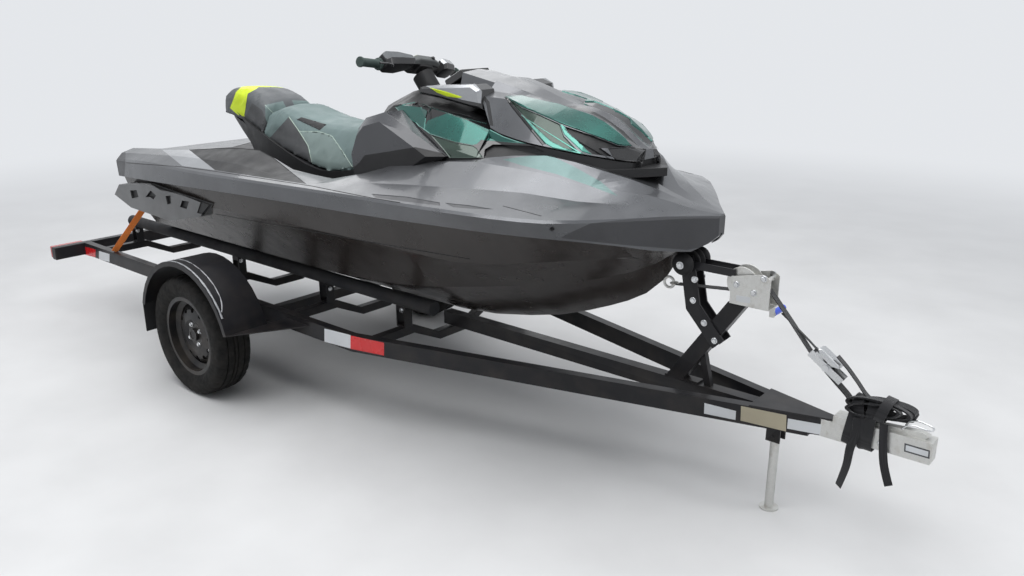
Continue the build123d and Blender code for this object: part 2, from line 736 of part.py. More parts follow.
def seat_base():
    def half(row):
        x, fy, fz, ty, tz = row
        return [(0, fz), (fy, fz), (ty, tz), (0, tz)]

    places = (-640, -600, -560, -450, -350, -260, -180, -60, 60, 200, 330, 450, 560, 694)
    body = along(SEAT_BASE, half, places)
    body = body - Pos(0, 0, -SEAT_GAP) * seat(SEAT_FRONT, 1) - Pos(0, 0, -SEAT_GAP) * seat(SEAT_REAR, 1)
    return body - deck_skin() - console_skin()


# Steering


def steering_place():
    """The bars' centre, with Z along the column."""
    return Pos(BAR_X, 0, BAR_Z) * Rot(0, -COLUMN_RAKE, 0)


def turned(shape):
    """Turned about the column as the bars stand."""
    return steering_place() * Rot(0, 0, STEER_TURN) * shape


def column_core(gap=0.0):
    length = COLUMN_TOP - COLUMN_LOW
    return steering_place() * Pos(0, 0, COLUMN_LOW + length / 2) * Cylinder(COLUMN_R + gap, length)


def steering_column():
    bore = steering_place() * Pos(0, 0, COLUMN_TOP - 50) * Cylinder(STEM_R + RUN_GAP, 110)
    return column_core() - bore - deck_skin()


def handlebar():
    bar = Rot(90, 0, 0) * Cylinder(BAR_R, 2 * BAR_HALF - 30)
    stem = Pos(0, 0, -50) * Cylinder(STEM_R, 98)
    for (x, z, *size), y in ((BAR_PAD, 0), (BAR_CLAMP, 0), (BAR_POD, -BAR_POD_Y), (BAR_POD, BAR_POD_Y)):
        bar += Pos(x, y, z) * Box(*size)
    return turned(bar + stem - grips_at())


def grips_at():
    grip = Pos(0, BAR_HALF - GRIP_LENGTH / 2, 0) * Rot(90, 0, 0) * Cylinder(GRIP_R, GRIP_LENGTH)
    return mirrored(grip)


def grips():
    core = Rot(90, 0, 0) * Cylinder(BAR_R + 0.2, 2 * BAR_HALF - 29)
    return turned(grips_at() - core)


# Jet drive


def jet_pump():
    body = rod_x(PUMP_REAR, PUMP_FRONT + 20 - SEAT_GAP, 0, PUMP_Z, PUMP_R)
    side = PUMP_R + PUMP_LIP
    flange = block(PUMP_FRONT - 10, PUMP_FRONT + 20 - SEAT_GAP, -side, side, PUMP_Z - PUMP_R - 4, PUMP_Z + side)
    spout = rod_x(NOZZLE_PIVOT_X - 6, PUMP_REAR, 0, PUMP_Z, VENTURI_R)
    body = body + flange + spout
    body -= rod_x(VANE_REAR, PUMP_FRONT + 100, 0, PUMP_Z, PUMP_BORE_R)
    body -= rod_x(NOZZLE_PIVOT_X - 50, VANE_REAR + 1, 0, PUMP_Z, VENTURI_R - 8)
    stator = rod_x(VANE_REAR, IMPELLER_X - 42, 0, PUMP_Z, HUB_CONE_R)
    tip = PUMP_BORE_R + 4
    for k in range(VANE_COUNT):
        vane = Pos(0, 0, (VANE_ROOT + tip) / 2) * Box(VANE_LONG, VANE_THICK, tip - VANE_ROOT)
        stator += Pos(VANE_REAR + VANE_LONG / 2, 0, PUMP_Z) * Rot(360 / VANE_COUNT * k + 20, 0, 0) * vane
    stator -= rod_x(VANE_REAR + 10, IMPELLER_X, 0, PUMP_Z, SHAFT_R + RUN_GAP)
    body += stator
    ear = block(NOZZLE_PIVOT_X - EAR_HALF, PUMP_REAR + 6, EAR_Y - EAR_THICK, EAR_Y, PUMP_Z - EAR_HALF, PUMP_Z + EAR_HALF)
    ear += rod_y(NOZZLE_PIVOT_X, PUMP_Z, EAR_Y - 3, EAR_Y + 8, PIN_R)
    pin = Pos(0, 0, VENTURI_R + 5) * Cylinder(PIN_R, 18)
    pins = Pos(NOZZLE_PIVOT_X, 0, PUMP_Z) * (pin + mirror(pin, about=Plane.XY))
    return body + mirrored(ear) + pins


def impeller():
    hub = rod_x(IMPELLER_X - 38, IMPELLER_X + 42, 0, PUMP_Z, HUB_CONE_R)
    shaft = rod_x(VANE_REAR + 14, ENGINE_X0 - 1.0, 0, PUMP_Z, SHAFT_R)
    body = hub + shaft
    blade = Pos(0, 0, 52) * Rot(0, 0, BLADE_PITCH) * Box(70, 5, 50)
    for k in range(BLADE_COUNT):
        body += Pos(IMPELLER_X, 0, PUMP_Z) * Rot(360 / BLADE_COUNT * k, 0, 0) * blade
    return body & rod_x(-2000, 2000, 0, PUMP_Z, IMPELLER_R)


def steering_nozzle():
    body = rod_x(-NOZZLE_REACH, COLLAR_FRONT, 0, 0, COLLAR_OUT)
    body -= rod_x(COLLAR_STEP + 6, COLLAR_FRONT + 4, 0, 0, COLLAR_IN)
    body -= rod_x(-NOZZLE_REACH - 1, 0, 0, 0, SPOUT_BORE)
    step = rod_x(-NOZZLE_REACH - 1, COLLAR_STEP, 0, 0, 100) - rod_x(-NOZZLE_REACH - 2, COLLAR_STEP + 1, 0, 0, SPOUT_R)
    body -= step
    body -= Cylinder(PIN_R + RUN_GAP, 200)
    room = PUMP_REAR - NOZZLE_PIVOT_X - MOVE_GAP
    turn = radians(NOZZLE_TURN)
    wide = COLLAR_OUT + 4
    shoulder = [(room / cos(turn), 0), ((room - wide * sin(turn)) / cos(turn), wide), (room * 2, wide), (room * 2, 0)]
    body -= mirrored(slab_xy(shoulder, -wide, wide))
    body += block(*LEVER, COLLAR_OUT - 4, COLLAR_OUT + 6, -5, 5)
    return Pos(NOZZLE_PIVOT_X, 0, PUMP_Z) * Rot(0, 0, STEER_TURN * NOZZLE_RATIO) * body


def reverse_bucket():
    h = BUCKET_HALF
    ring = rod_y(0, 0, -h, h, BUCKET_OUT) - rod_y(0, 0, 1 - h, h - 1, BUCKET_IN)
    outline = [(0, 0)] + [(300 * cos(radians(a)), 300 * sin(radians(a))) for a in BUCKET_ANGLES]
    ring = ring & slab_xz(outline, -110, 110)
    for y0, y1 in ((EAR_Y + 1.5, h), (-h, -EAR_Y - 1.5)):
        ring += slab_xz(BUCKET_ARM, y0, y1) - rod_y(0, 0, -300, 300, PIN_R + RUN_GAP)
    return Pos(NOZZLE_PIVOT_X, 0, PUMP_Z) * ring


def ride_plate():
    half = TUNNEL_HALF - SEAT_GAP
    x0, x1 = HULL_REAR + 4, TUNNEL_FRONT - SEAT_GAP
    body = block(x0, x1, -half, half, PLATE_TOP - PLATE_THICK, PLATE_TOP)
    return body + mirrored(block(x0, x1, half - PLATE_THICK, half, PLATE_TOP - PLATE_THICK, PLATE_SIDE))


def intake_grate():
    """Bars across the intake, whose front ends meet the duct's sloping roof."""
    z0, z1 = GRATE_Z, GRATE_Z + GRATE_THICK
    rear = TUNNEL_FRONT + 6
    body = None
    for x in (rear, GRATE_CROSS_X):
        across = block(x, x + GRATE_CROSS, -INTAKE_HALF, INTAKE_HALF, z0, z1)
        body = across if body is None else body + across
    for y in GRATE_BARS:
        body += block(rear, INTAKE_FRONT, y - GRATE_BAR / 2, y + GRATE_BAR / 2, z0, z1)
    return body & intake_duct(SEAT_GAP)


# Trailer frame


def rail():
    """Port side rail, straight beside the craft and then running in to the nose."""
    run = RAIL_FRONT - BEND_X
    turn = atan2(RAIL_HALF - RAIL_FRONT_HALF, run)
    inner_bend = BEND_X - RAIL_WIDTH * (1 - cos(turn)) / sin(turn)
    inside = RAIL_FRONT_HALF - RAIL_WIDTH / cos(turn)
    points = [(RAIL_REAR, RAIL_HALF), (BEND_X, RAIL_HALF), (RAIL_FRONT, RAIL_FRONT_HALF),
              (RAIL_FRONT, max(inside, 1.0)), (RAIL_FRONT - 20, max(inside + 20 * tan(turn), 1.0)),
              (inner_bend, RAIL_HALF - RAIL_WIDTH), (RAIL_REAR, RAIL_HALF - RAIL_WIDTH)]
    body = slab_xy(points, RAIL_TOP - RAIL_HEIGHT, RAIL_TOP)
    return body - spine()


def rails():
    return mirrored(rail())


def spine_bar(gap=0.0):
    top = RAIL_TOP - SPINE_DROP
    return block(CROSS_X[-1] - CROSS_SIZE / 2, RAIL_FRONT + gap, -SPINE_WIDTH / 2 - gap, SPINE_WIDTH / 2 + gap,
                 top - SPINE_HEIGHT - gap, top + gap)


def spine():
    body = spine_bar()
    for side in (-1, 1):
        y = side * (LEG_R + LEG_EAR_GAP + LEG_EAR_THICK / 2)
        body += block(LEG_X - LEG_EAR_HALF, LEG_X + LEG_EAR_HALF, y - LEG_EAR_THICK / 2, y + LEG_EAR_THICK / 2,
                      LEG_PIVOT_Z - LEG_HEAD, RAIL_TOP - SPINE_DROP - SPINE_HEIGHT + 1)
    pin = rod_y(LEG_X, LEG_PIVOT_Z, -LEG_R - 12, LEG_R + 12, LEG_PIN_R)
    return body + pin


def crossmember(x):
    reach = RAIL_HALF - RAIL_WIDTH - SEAT_GAP
    top = RAIL_TOP - CROSS_DROP
    outer = BUNK_Y - CROSS_FLAT + 20
    outline = [(-reach, top), (-outer, top), (-CROSS_DIP_HALF + 30, top - CROSS_DIP), (CROSS_DIP_HALF - 30, top - CROSS_DIP),
               (outer, top), (reach, top), (reach, top - CROSS_SIZE), (outer, top - CROSS_SIZE),
               (CROSS_DIP_HALF - 40, top - CROSS_DIP - CROSS_SIZE), (-CROSS_DIP_HALF + 40, top - CROSS_DIP - CROSS_SIZE),
               (-outer, top - CROSS_SIZE), (-reach, top - CROSS_SIZE)]
    return slab_yz(outline, x - CROSS_SIZE / 2, x + CROSS_SIZE / 2)


def crossmembers():
    body = crossmember(CROSS_X[0])
    for x in CROSS_X[1:]:
        body += crossmember(x)
    return body - spine() - mirrored(rail())


def rear_bar():
    return block(RAIL_REAR - REAR_BAR_DEPTH - SEAT_GAP, RAIL_REAR - SEAT_GAP, -REAR_BAR_HALF, REAR_BAR_HALF,
                 RAIL_TOP - RAIL_HEIGHT, RAIL_TOP)


def tail_lamps():
    x1 = RAIL_REAR - REAR_BAR_DEPTH - 2 * SEAT_GAP
    y1 = REAR_BAR_HALF - 8
    lamp = block(x1 - LAMP_DEPTH, x1, y1 - LAMP_WIDTH, y1, RAIL_TOP - 70, RAIL_TOP - 2)
    return mirrored(lamp)


def nose_plate():
    points = [(NOSE_REAR, NOSE_HALF), (NOSE_TIP, NOSE_TIP_HALF), (NOSE_TIP, -NOSE_TIP_HALF), (NOSE_REAR, -NOSE_HALF)]
    return slab_xy(points, RAIL_TOP + SEAT_GAP, RAIL_TOP + SEAT_GAP + NOSE_THICK)


def axle():
    beam = block(-AXLE_SIZE / 2, AXLE_SIZE / 2, -AXLE_HALF, AXLE_HALF, WHEEL_R - AXLE_SIZE / 2, WHEEL_R + AXLE_SIZE / 2)
    return beam + rod_y(0, WHEEL_R, -WHEEL_Y - DISC_OFFSET - 12, WHEEL_Y + DISC_OFFSET + 12, STUB_R)


def springs():
    low = WHEEL_R + AXLE_SIZE / 2 + SEAT_GAP
    high = RAIL_TOP - RAIL_HEIGHT - SEAT_GAP
    end = high - SPRING_DROP
    leaf = slab_xz([(-SPRING_HALF, end), (0, low), (SPRING_HALF, end), (SPRING_HALF, end + LEAF),
                    (0, low + LEAF), (-SPRING_HALF, end + LEAF)], -SPRING_WIDTH / 2, SPRING_WIDTH / 2)
    for x in (-SPRING_HALF, SPRING_HALF - SPRING_EYE):
        leaf += block(x, x + SPRING_EYE, -SPRING_WIDTH / 2, SPRING_WIDTH / 2, high - SPRING_EYE_DROP, high)
    return mirrored(Pos(0, RAIL_HALF - RAIL_WIDTH / 2, 0) * leaf)


def bunk_z():
    """Height of the bunks' middle, so that the hull's bottom lies on them."""
    keel, chine_y, chine_z = HULL_TABLE[0][1:4]
    slope = (chine_z - keel) / chine_y
    rise = keel + slope * BUNK_Y
    return rise - (BUNK_R + SEAT_GAP) * (1 + slope * slope) ** 0.5


def bunks():
    return mirrored(rod_x(BUNK_REAR, BUNK_FRONT, BUNK_Y, bunk_z(), BUNK_R))


def bunk_brackets():
    body = None
    foot = RAIL_TOP - CROSS_DROP + SEAT_GAP
    low = bunk_z() - BUNK_R
    half, wall = BRACKET_LONG / 2, BRACKET_WALL
    for x in CROSS_X:
        post = block(x - half, x + half, BUNK_Y - BRACKET_WIDE / 2, BUNK_Y + BRACKET_WIDE / 2, foot, low + 20)
        post -= block(x - half + wall, x + half - wall, BUNK_Y - 40, BUNK_Y + 40, foot + 6, low - 2 * wall)
        post -= rod_x(x - 200, x + 200, BUNK_Y, bunk_z(), BUNK_R + SEAT_GAP)
        body = post if body is None else body + post
    return mirrored(body)


def fender():
    """Port fender with its step to the rail."""
    def arc(radius):
        sweep = FENDER_REAR_ANGLE - FENDER_FRONT_ANGLE
        angles = [radians(FENDER_FRONT_ANGLE + sweep * k / FENDER_STEPS) for k in range(FENDER_STEPS + 1)]
        return [(FENDER_X + radius * cos(a), WHEEL_R + radius * sin(a)) for a in angles]

    outline = arc(FENDER_R)
    body = slab_xz(outline + arc(FENDER_R - FENDER_THICK)[::-1], FENDER_INNER, FENDER_OUTER)
    body += slab_xz(outline + arc(FENDER_R - FENDER_LIP)[::-1], FENDER_OUTER - FENDER_THICK, FENDER_OUTER)
    top = RAIL_TOP - STEP_DROP
    beside = RAIL_HALF + SEAT_GAP
    reach = FENDER_R * cos(radians(STEP_ANGLE))
    front, rear = FENDER_X + reach - 4, FENDER_X - reach + 4
    step = slab_xy([(front, FENDER_OUTER), (front, beside), (STEP_FRONT, beside)], top - STEP_THICK, top)
    stay = slab_xy([(rear, FENDER_INNER + 60), (rear, beside), (rear - 4 - STAY_LENGTH, beside)], top - STEP_THICK, top)
    return body + step + stay


def fenders():
    return mirrored(fender())


def mud_flaps():
    """Rubber flaps behind the wheels, hung from the fenders' rear ends."""
    end = radians(FENDER_REAR_ANGLE)
    x = FENDER_X + FENDER_R * cos(end)
    z = WHEEL_R + FENDER_R * sin(end)
    x1 = x - SEAT_GAP
    return mirrored(block(x1 - FLAP_THICK, x1, FLAP_INNER, FENDER_OUTER - FENDER_THICK, FLAP_LOW, z + 2))


# Wheels


def wheel_solid(profile):
    """Turned about the wheel's axle from points drawn as radius and place across."""
    face = make_face(Polyline(*[(0, w, r) for r, w in profile], close=True))
    return revolve(face, Axis.Y, 360)


def rim():
    half = RIM_WIDTH / 2
    t = RIM_WALL
    barrel = [(RIM_LIP_R, half), (RIM_LIP_R, half - t), (BEAD_R, half - t - 2), (BEAD_R, half - 34), (BEAD_R - 22, half - 48),
              (BEAD_R - 22, 24 - half), (BEAD_R, 14 - half), (BEAD_R, t + 2 - half), (RIM_LIP_R, t - half), (RIM_LIP_R, -half),
              (BEAD_R - t, -half), (BEAD_R - t, 10 - half), (BEAD_R - 22 - t, 22 - half), (BEAD_R - 22 - t, half - 50),
              (BEAD_R - t, half - 36), (BEAD_R - t, half)]
    body = wheel_solid(barrel)
    d = DISC_OFFSET
    disc = [(HUB_R - 10, d), (HUB_R + 16, d), (HUB_R + 34, d + 10), (120, d + 2), (BEAD_R - 26, d - 24), (BEAD_R - 26, d - 32),
            (120, d - 6), (HUB_R + 34, d + 3), (HUB_R + 16, d - 7), (HUB_R - 10, d - 7)]
    body += wheel_solid(disc)
    hub = [(STUB_R + RUN_GAP, d + 14), (HUB_R - 8, d + 14), (HUB_R - 8, d), (HUB_R + 12, d - 3), (HUB_R + 12, d - 12),
           (HUB_R, d - 14), (HUB_R, d + 14 - HUB_LENGTH), (STUB_R + RUN_GAP, d + 14 - HUB_LENGTH)]
    body += wheel_solid(hub)
    for k in range(RIM_HOLES):
        body -= Rot(0, 360 / RIM_HOLES * k, 0) * Pos(0, d, RIM_HOLE_AT) * Rot(90, 0, 0) * Cylinder(RIM_HOLE_R, 80)
    return body


def tyre():
    half = TYRE_WIDTH / 2
    b = RIM_WIDTH / 2 - RIM_WALL - 3
    r = WHEEL_R
    profile = [(BEAD_R + SEAT_GAP, b), (RIM_LIP_R + 6, b + 4), (BEAD_R + 44, half), (r - 26, half - 4), (r - 8, half - 22),
               (r, half - 40), (r, 40 - half), (r - 8, 22 - half), (r - 26, 4 - half), (BEAD_R + 44, -half),
               (RIM_LIP_R + 6, -b - 4), (BEAD_R + SEAT_GAP, -b), (BEAD_R + 12, 12 - b), (BEAD_R + 12, b - 12)]
    return wheel_solid(profile)


def at_wheel(shape, side):
    placed = Pos(0, WHEEL_Y, WHEEL_R) * shape
    return placed if side > 0 else mirror(placed, about=Plane.XZ)


# Winch post, winch, coupler and leg


def post_bar(start, end, width, y0, y1):
    """Flat bar in the side view between two points."""
    dx, dz = end[0] - start[0], end[1] - start[1]
    length = (dx * dx + dz * dz) ** 0.5
    nx, nz = -dz / length * width / 2, dx / length * width / 2
    points = [(start[0] + nx, start[1] + nz), (end[0] + nx, end[1] + nz), (end[0] - nx, end[1] - nz),
              (start[0] - nx, start[1] - nz)]
    return slab_xz(points, y0, y1)


def winch_post():
    """Bent post with two side plates that hold the roller, a link to the winch and a strut."""
    top = RAIL_TOP - SPINE_DROP + SEAT_GAP
    h = POST_HALF
    above = block(2000, 2600, -100, 100, top, WINCH_FLOOR - SEAT_GAP)
    body = post_bar((POST_FOOT, top - 6), POST_HEAD, POST_WIDTH, -h, h) & above
    x0, x1, thick = POST_BASE
    body += block(x0, x1, -h + 1, h - 1, top, top + thick)
    y0, y1 = h - 1, h + POST_PLATE
    plate = slab_xz(ARM_OUTLINE, y0, y1)
    plate += block(ROLLER_X + 16, WINCH_X - 24, y1 - 1, y1 + 3, LINK_Z0, LINK_Z1)
    body += mirrored(plate)
    body += rod_y(ROLLER_X, ROLLER_Z, -h - 14, h + 14, ROLLER_AXLE_R)
    strut = post_bar(STRUT_TOP, (STRUT_FOOT, top - 10), STRUT_WIDTH, -12, 12) & above
    return body + strut


def bow_roller():
    r, h = ROLLER_R, ROLLER_HALF
    waist = r - ROLLER_WAIST
    profile = [(ROLLER_AXLE_R + RUN_GAP, h), (r, h), (r, h - 8), (waist, 4), (waist, -4), (r, 8 - h), (r, -h),
               (ROLLER_AXLE_R + RUN_GAP, -h)]
    return Pos(ROLLER_X, 0, ROLLER_Z) * wheel_solid(profile)


def winch_frame():
    inner = POST_HALF + POST_PLATE + 3 + SEAT_GAP
    outer = inner + WINCH_PLATE
    outline = [(WINCH_X + x, WINCH_FLOOR + z) for x, z in WINCH_OUTLINE]
    plate = slab_xz(outline, inner, outer)
    for x, z in ((WINCH_X, WINCH_Z), (CRANK_X, CRANK_Z)):
        plate -= rod_y(x, z, 0, 80, WINCH_SHAFT_R + RUN_GAP)
    floor = block(outline[0][0], outline[1][0], -outer, outer, WINCH_FLOOR, WINCH_FLOOR + WINCH_PLATE)
    return floor + mirrored(plate)


def winch_drum():
    h = DRUM_HALF
    groove = rod_y(0, 0, -h, h, FLANGE_R + 1) - rod_y(0, 0, -h, h, DRUM_R)
    body = rod_y(0, 0, -h - DRUM_CHEEK, h + DRUM_CHEEK, FLANGE_R) - groove
    return Pos(WINCH_X, 0, WINCH_Z) * (body + rod_y(0, 0, -WINCH_SHAFT_HALF, WINCH_SHAFT_HALF, WINCH_SHAFT_R))


def winch_crank():
    y1 = CRANK_Y + CRANK_THICK
    shaft = rod_y(0, 0, -WINCH_SHAFT_HALF, y1, WINCH_SHAFT_R)
    arm = block(-CRANK_ARM / 2, CRANK_ARM / 2, CRANK_Y, y1, HANDLE_R - CRANK_LENGTH, HANDLE_R)
    handle = rod_y(0, 2 * HANDLE_R - CRANK_LENGTH, y1, y1 + HANDLE_LENGTH, HANDLE_R)
    return Pos(CRANK_X, 0, CRANK_Z) * (shaft + arm + handle)


def coupler():
    half = COUPLER_WIDTH / 2
    w = COUPLER_WALL
    low, high = COUPLER_LOW, COUPLER_TOP
    body = block(COUPLER_REAR, COUPLER_FRONT, -half, half, low, high)
    body -= block(COUPLER_REAR - 1, COUPLER_FRONT - w, -half + w, half - w, low - 60, high - w)
    tongue = COUPLER_REAR + TONGUE_LENGTH
    body += block(RAIL_FRONT + SEAT_GAP, tongue, -half + w, half - w, TONGUE_LOW, RAIL_TOP)
    body += block(COUPLER_REAR + 20, tongue, -half + w, half - w, RAIL_TOP - 1, high - w)
    socket = Pos(BALL_X, 0, BALL_Z + 14) * Cylinder(half - 1, 62)
    socket -= Pos(BALL_X, 0, BALL_Z) * Sphere(BALL_R)
    socket -= Pos(BALL_X, 0, BALL_Z - 40) * Cylinder(BALL_R, 80)
    latch = slab_xz([(x, high + z) for x, z in LATCH], -LATCH_HALF, LATCH_HALF)
    return body + socket + latch


def prop_leg():
    foot = Pos(LEG_X, 0, FOOT_THICK / 2) * Cylinder(FOOT_R, FOOT_THICK)
    high = LEG_PIVOT_Z + LEG_HEAD
    tube = Pos(LEG_X, 0, (high + FOOT_THICK) / 2) * Cylinder(LEG_R, high - FOOT_THICK)
    return foot + tube - rod_y(LEG_X, LEG_PIVOT_Z, -60, 60, LEG_PIN_R + RUN_GAP)


# Straps


def band(start, end, width, thick):
    """Flat strap between two points, its width across the craft."""
    a, b = Vector(*start), Vector(*end)
    plane = Plane(origin=a, z_dir=b - a, x_dir=(0, 1, 0))
    return extrude(plane * Rectangle(width, thick), amount=(b - a).length)


def stern_strap():
    start = (HULL_REAR - 2 * EYE_R - 8, -STERN_EYE_Y, STERN_EYE_Z - 18)
    return rod(start, (-1262, -RAIL_HALF + 18, RAIL_TOP + 3), 4)


def bow_hook():
    """Ring through the bow eye that the winch's strap is sewn to."""
    return Pos(HOOK_X, 0, BOW_EYE_Z) * Torus(HOOK_R, HOOK_WIRE)


def winch_strap():
    """From its ring to the drum's underside."""
    drop = DRUM_R + STRAP_THICK / 2 + SEAT_GAP
    start = (HOOK_X + HOOK_R, 0, BOW_EYE_Z)
    end = (WINCH_X + 3, 0, WINCH_Z - drop)
    return band(start, end, STRAP_WIDTH, STRAP_THICK) - Pos(HOOK_X, 0, BOW_EYE_Z) * Torus(HOOK_R, HOOK_WIRE + SEAT_GAP)


PIECES = {
    "hull": hull,
    "deck": deck,
    "footwell_mats": footwell_mats,
    "stern_bumper": stern_bumper,
    "sponsons": sponsons,
    "tow_eyes": tow_eyes,
    "engine": engine,
    "hood": hood,
    "console": console,
    "glovebox_lid": glovebox_lid,
    "side_panels": side_panels,
    "knee_pods": knee_pods,
    "splitter": splitter,
    "mirrors": mirrors,
    "gauge": gauge,
    "seat_front": seat_front,
    "seat_rear": seat_rear,
    "seat_base": seat_base,
    "steering_column": steering_column,
    "handlebar": handlebar,
    "grips": grips,
    "jet_pump": jet_pump,
    "impeller": impeller,
    "steering_nozzle": steering_nozzle,
    "reverse_bucket": reverse_bucket,
    "ride_plate": ride_plate,
    "intake_grate": intake_grate,
    "rails": rails,
    "spine": spine,
    "crossmembers": crossmembers,
    "rear_bar": rear_bar,
    "tail_lamps": tail_lamps,
    "nose_plate": nose_plate,
    "axle": axle,
    "springs": springs,
    "bunks": bunks,
    "bunk_brackets": bunk_brackets,
    "fenders": fenders,
    "mud_flaps": mud_flaps,
    "rim_left": lambda: at_wheel(rim(), 1),
    "rim_right": lambda: at_wheel(rim(), -1),
    "tyre_left": lambda: at_wheel(tyre(), 1),
    "tyre_right": lambda: at_wheel(tyre(), -1),
    "winch_post": winch_post,
    "bow_roller": bow_roller,
    "winch_frame": winch_frame,
    "winch_drum": winch_drum,
    "winch_crank": winch_crank,
    "coupler": coupler,
    "prop_leg": prop_leg,
    "stern_strap": stern_strap,
    "winch_strap": winch_strap,
    "bow_hook": bow_hook,
}


def middle_x():
    """Middle of the whole length, from the tail lamps to the coupler's front."""
    rear = RAIL_REAR - REAR_BAR_DEPTH - 2 * SEAT_GAP - LAMP_DEPTH
    return (rear + COUPLER_FRONT) / 2


def main():
    os.makedirs("parts", exist_ok=True)
    shift = Pos(-middle_x(), 0, 0)
    for name, make in PIECES.items():
        export_step(shift * make(), f"parts/{name}.step")


main()
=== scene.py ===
"""Looks of the personal watercraft on its road trailer.

Metres. All places are written with X = 0 at the trailer's axle, as in the
part's source, and at() moves them into the frame.
"""
import bpy
import bmesh
import json
from math import copysign, cos, pi, radians, sin
from mathutils import Matrix, Vector
from mathutils.bvhtree import BVHTree
from mathutils.kdtree import KDTree

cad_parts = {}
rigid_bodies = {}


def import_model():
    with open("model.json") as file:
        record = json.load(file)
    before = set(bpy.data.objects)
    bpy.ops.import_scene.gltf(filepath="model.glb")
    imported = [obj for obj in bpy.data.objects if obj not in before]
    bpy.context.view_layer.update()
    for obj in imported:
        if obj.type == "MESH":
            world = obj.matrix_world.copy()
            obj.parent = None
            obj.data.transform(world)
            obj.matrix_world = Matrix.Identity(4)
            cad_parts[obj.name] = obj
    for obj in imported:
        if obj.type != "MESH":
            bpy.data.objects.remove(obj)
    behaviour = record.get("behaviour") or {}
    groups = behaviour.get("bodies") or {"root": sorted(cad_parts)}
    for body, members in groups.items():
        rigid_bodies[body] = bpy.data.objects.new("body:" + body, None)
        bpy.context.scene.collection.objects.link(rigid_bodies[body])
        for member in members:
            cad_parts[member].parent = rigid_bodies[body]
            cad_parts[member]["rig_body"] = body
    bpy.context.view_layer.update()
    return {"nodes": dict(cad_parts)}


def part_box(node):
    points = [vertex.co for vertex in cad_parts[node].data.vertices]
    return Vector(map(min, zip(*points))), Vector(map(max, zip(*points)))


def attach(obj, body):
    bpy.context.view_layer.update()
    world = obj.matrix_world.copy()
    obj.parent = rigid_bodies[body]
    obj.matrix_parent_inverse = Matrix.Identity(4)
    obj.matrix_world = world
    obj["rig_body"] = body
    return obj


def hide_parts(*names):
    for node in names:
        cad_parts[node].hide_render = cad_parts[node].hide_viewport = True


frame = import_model()
NODES = frame["nodes"]
MIDDLE_X = 0.6721
ROOT = "craft_and_trailer"
# Points closer than this are one point
WELD = 2e-5


def at(x, y, z):
    return Vector((x - MIDDLE_X, y, z))


# The photograph's camera, found from the object's own lines
EYE = at(3.6, -2.7306, 1.719)
YAW, PITCH, ROLL = radians(40.211), radians(17.535), radians(-0.065)
FOCAL = 870.6
FRAME_W, FRAME_H = 1024, 576
LOOK = Vector((-sin(YAW) * cos(PITCH), cos(YAW) * cos(PITCH), -sin(PITCH)))
LEVEL = Vector((cos(YAW), sin(YAW), 0))
ABOVE = LEVEL.cross(LOOK)
RIGHT = LEVEL * cos(ROLL) + ABOVE * sin(ROLL)
UP = ABOVE * cos(ROLL) - LEVEL * sin(ROLL)


def seen(p):
    """Where a point in the frame lies in the photograph, in pixels."""
    v = p - EYE
    depth = v.dot(LOOK)
    return FRAME_W / 2 + FOCAL * v.dot(RIGHT) / depth, FRAME_H / 2 - FOCAL * v.dot(UP) / depth


def ray(px, py):
    """Direction from the camera through a pixel."""
    return (LOOK * FOCAL + RIGHT * (px - FRAME_W / 2) + UP * (FRAME_H / 2 - py)).normalized()


# Materials

DUST = (0.27, 0.22, 0.17)
ZINC = (0.62, 0.62, 0.6)
ZINC_STAIN = (0.3, 0.26, 0.21)
RUBBER_DARK, RUBBER_PALE = (0.01, 0.01, 0.01), (0.026, 0.024, 0.022)
COAT_ROUGH = 0.08
# How deep bumps are, in metres
GRAIN_DEPTH, WAVE_DEPTH, THREAD_DEPTH, RUBBER_DEPTH = 0.0004, 0.001, 0.0006, 0.0005
# Where the mix node has its colours
COLOUR_A, COLOUR_B, COLOUR_OUT = 6, 7, 2


def new_material(name):
    """Material, its node tree and its shader."""
    m = bpy.data.materials.new(name)
    m.use_nodes = True
    return m, m.node_tree, m.node_tree.nodes["Principled BSDF"]


def feed(t, socket, value):
    """Gives a socket another socket's value, a colour or a number."""
    if isinstance(value, bpy.types.NodeSocket):
        t.links.new(value, socket)
    else:
        socket.default_value = (*value, 1) if hasattr(value, "__len__") else value


def put(t, node, **values):
    """Feeds a node's inputs by name."""
    for name, value in values.items():
        feed(t, node.inputs[name.replace("_", " ")], value)
    return node


def new(t, kind, **values):
    return put(t, t.nodes.new("ShaderNode" + kind), **values)


def own_place(t):
    return new(t, "TexCoord").outputs["Object"]


def noise(t, scale, detail):
    return new(t, "TexNoise", Scale=scale, Detail=detail, Vector=own_place(t)).outputs["Fac"]


def ramp(t, source, *stops):
    """Two colours or greys, each from its place on."""
    r = new(t, "ValToRGB", Fac=source)
    for e, (where, colour) in zip(r.color_ramp.elements, stops):
        e.position = where
        e.color = (*colour, 1) if hasattr(colour, "__len__") else (colour, colour, colour, 1)
    return r.outputs["Color"]


def mix(t, fac, a, b, how="MIX"):
    m = new(t, "Mix")
    m.data_type = "RGBA"
    m.blend_type = how
    put(t, m, Factor=fac)
    feed(t, m.inputs[COLOUR_A], a)
    feed(t, m.inputs[COLOUR_B], b)
    return m.outputs[COLOUR_OUT]


def maths(t, how, a, b):
    m = new(t, "Math")
    m.operation = how
    feed(t, m.inputs[0], a)
    feed(t, m.inputs[1], b)
    return m.outputs[0]


def bump(t, shader, height, strength, distance):
    b = new(t, "Bump", Strength=strength, Distance=distance, Height=height)
    put(t, shader, Normal=b.outputs["Normal"])


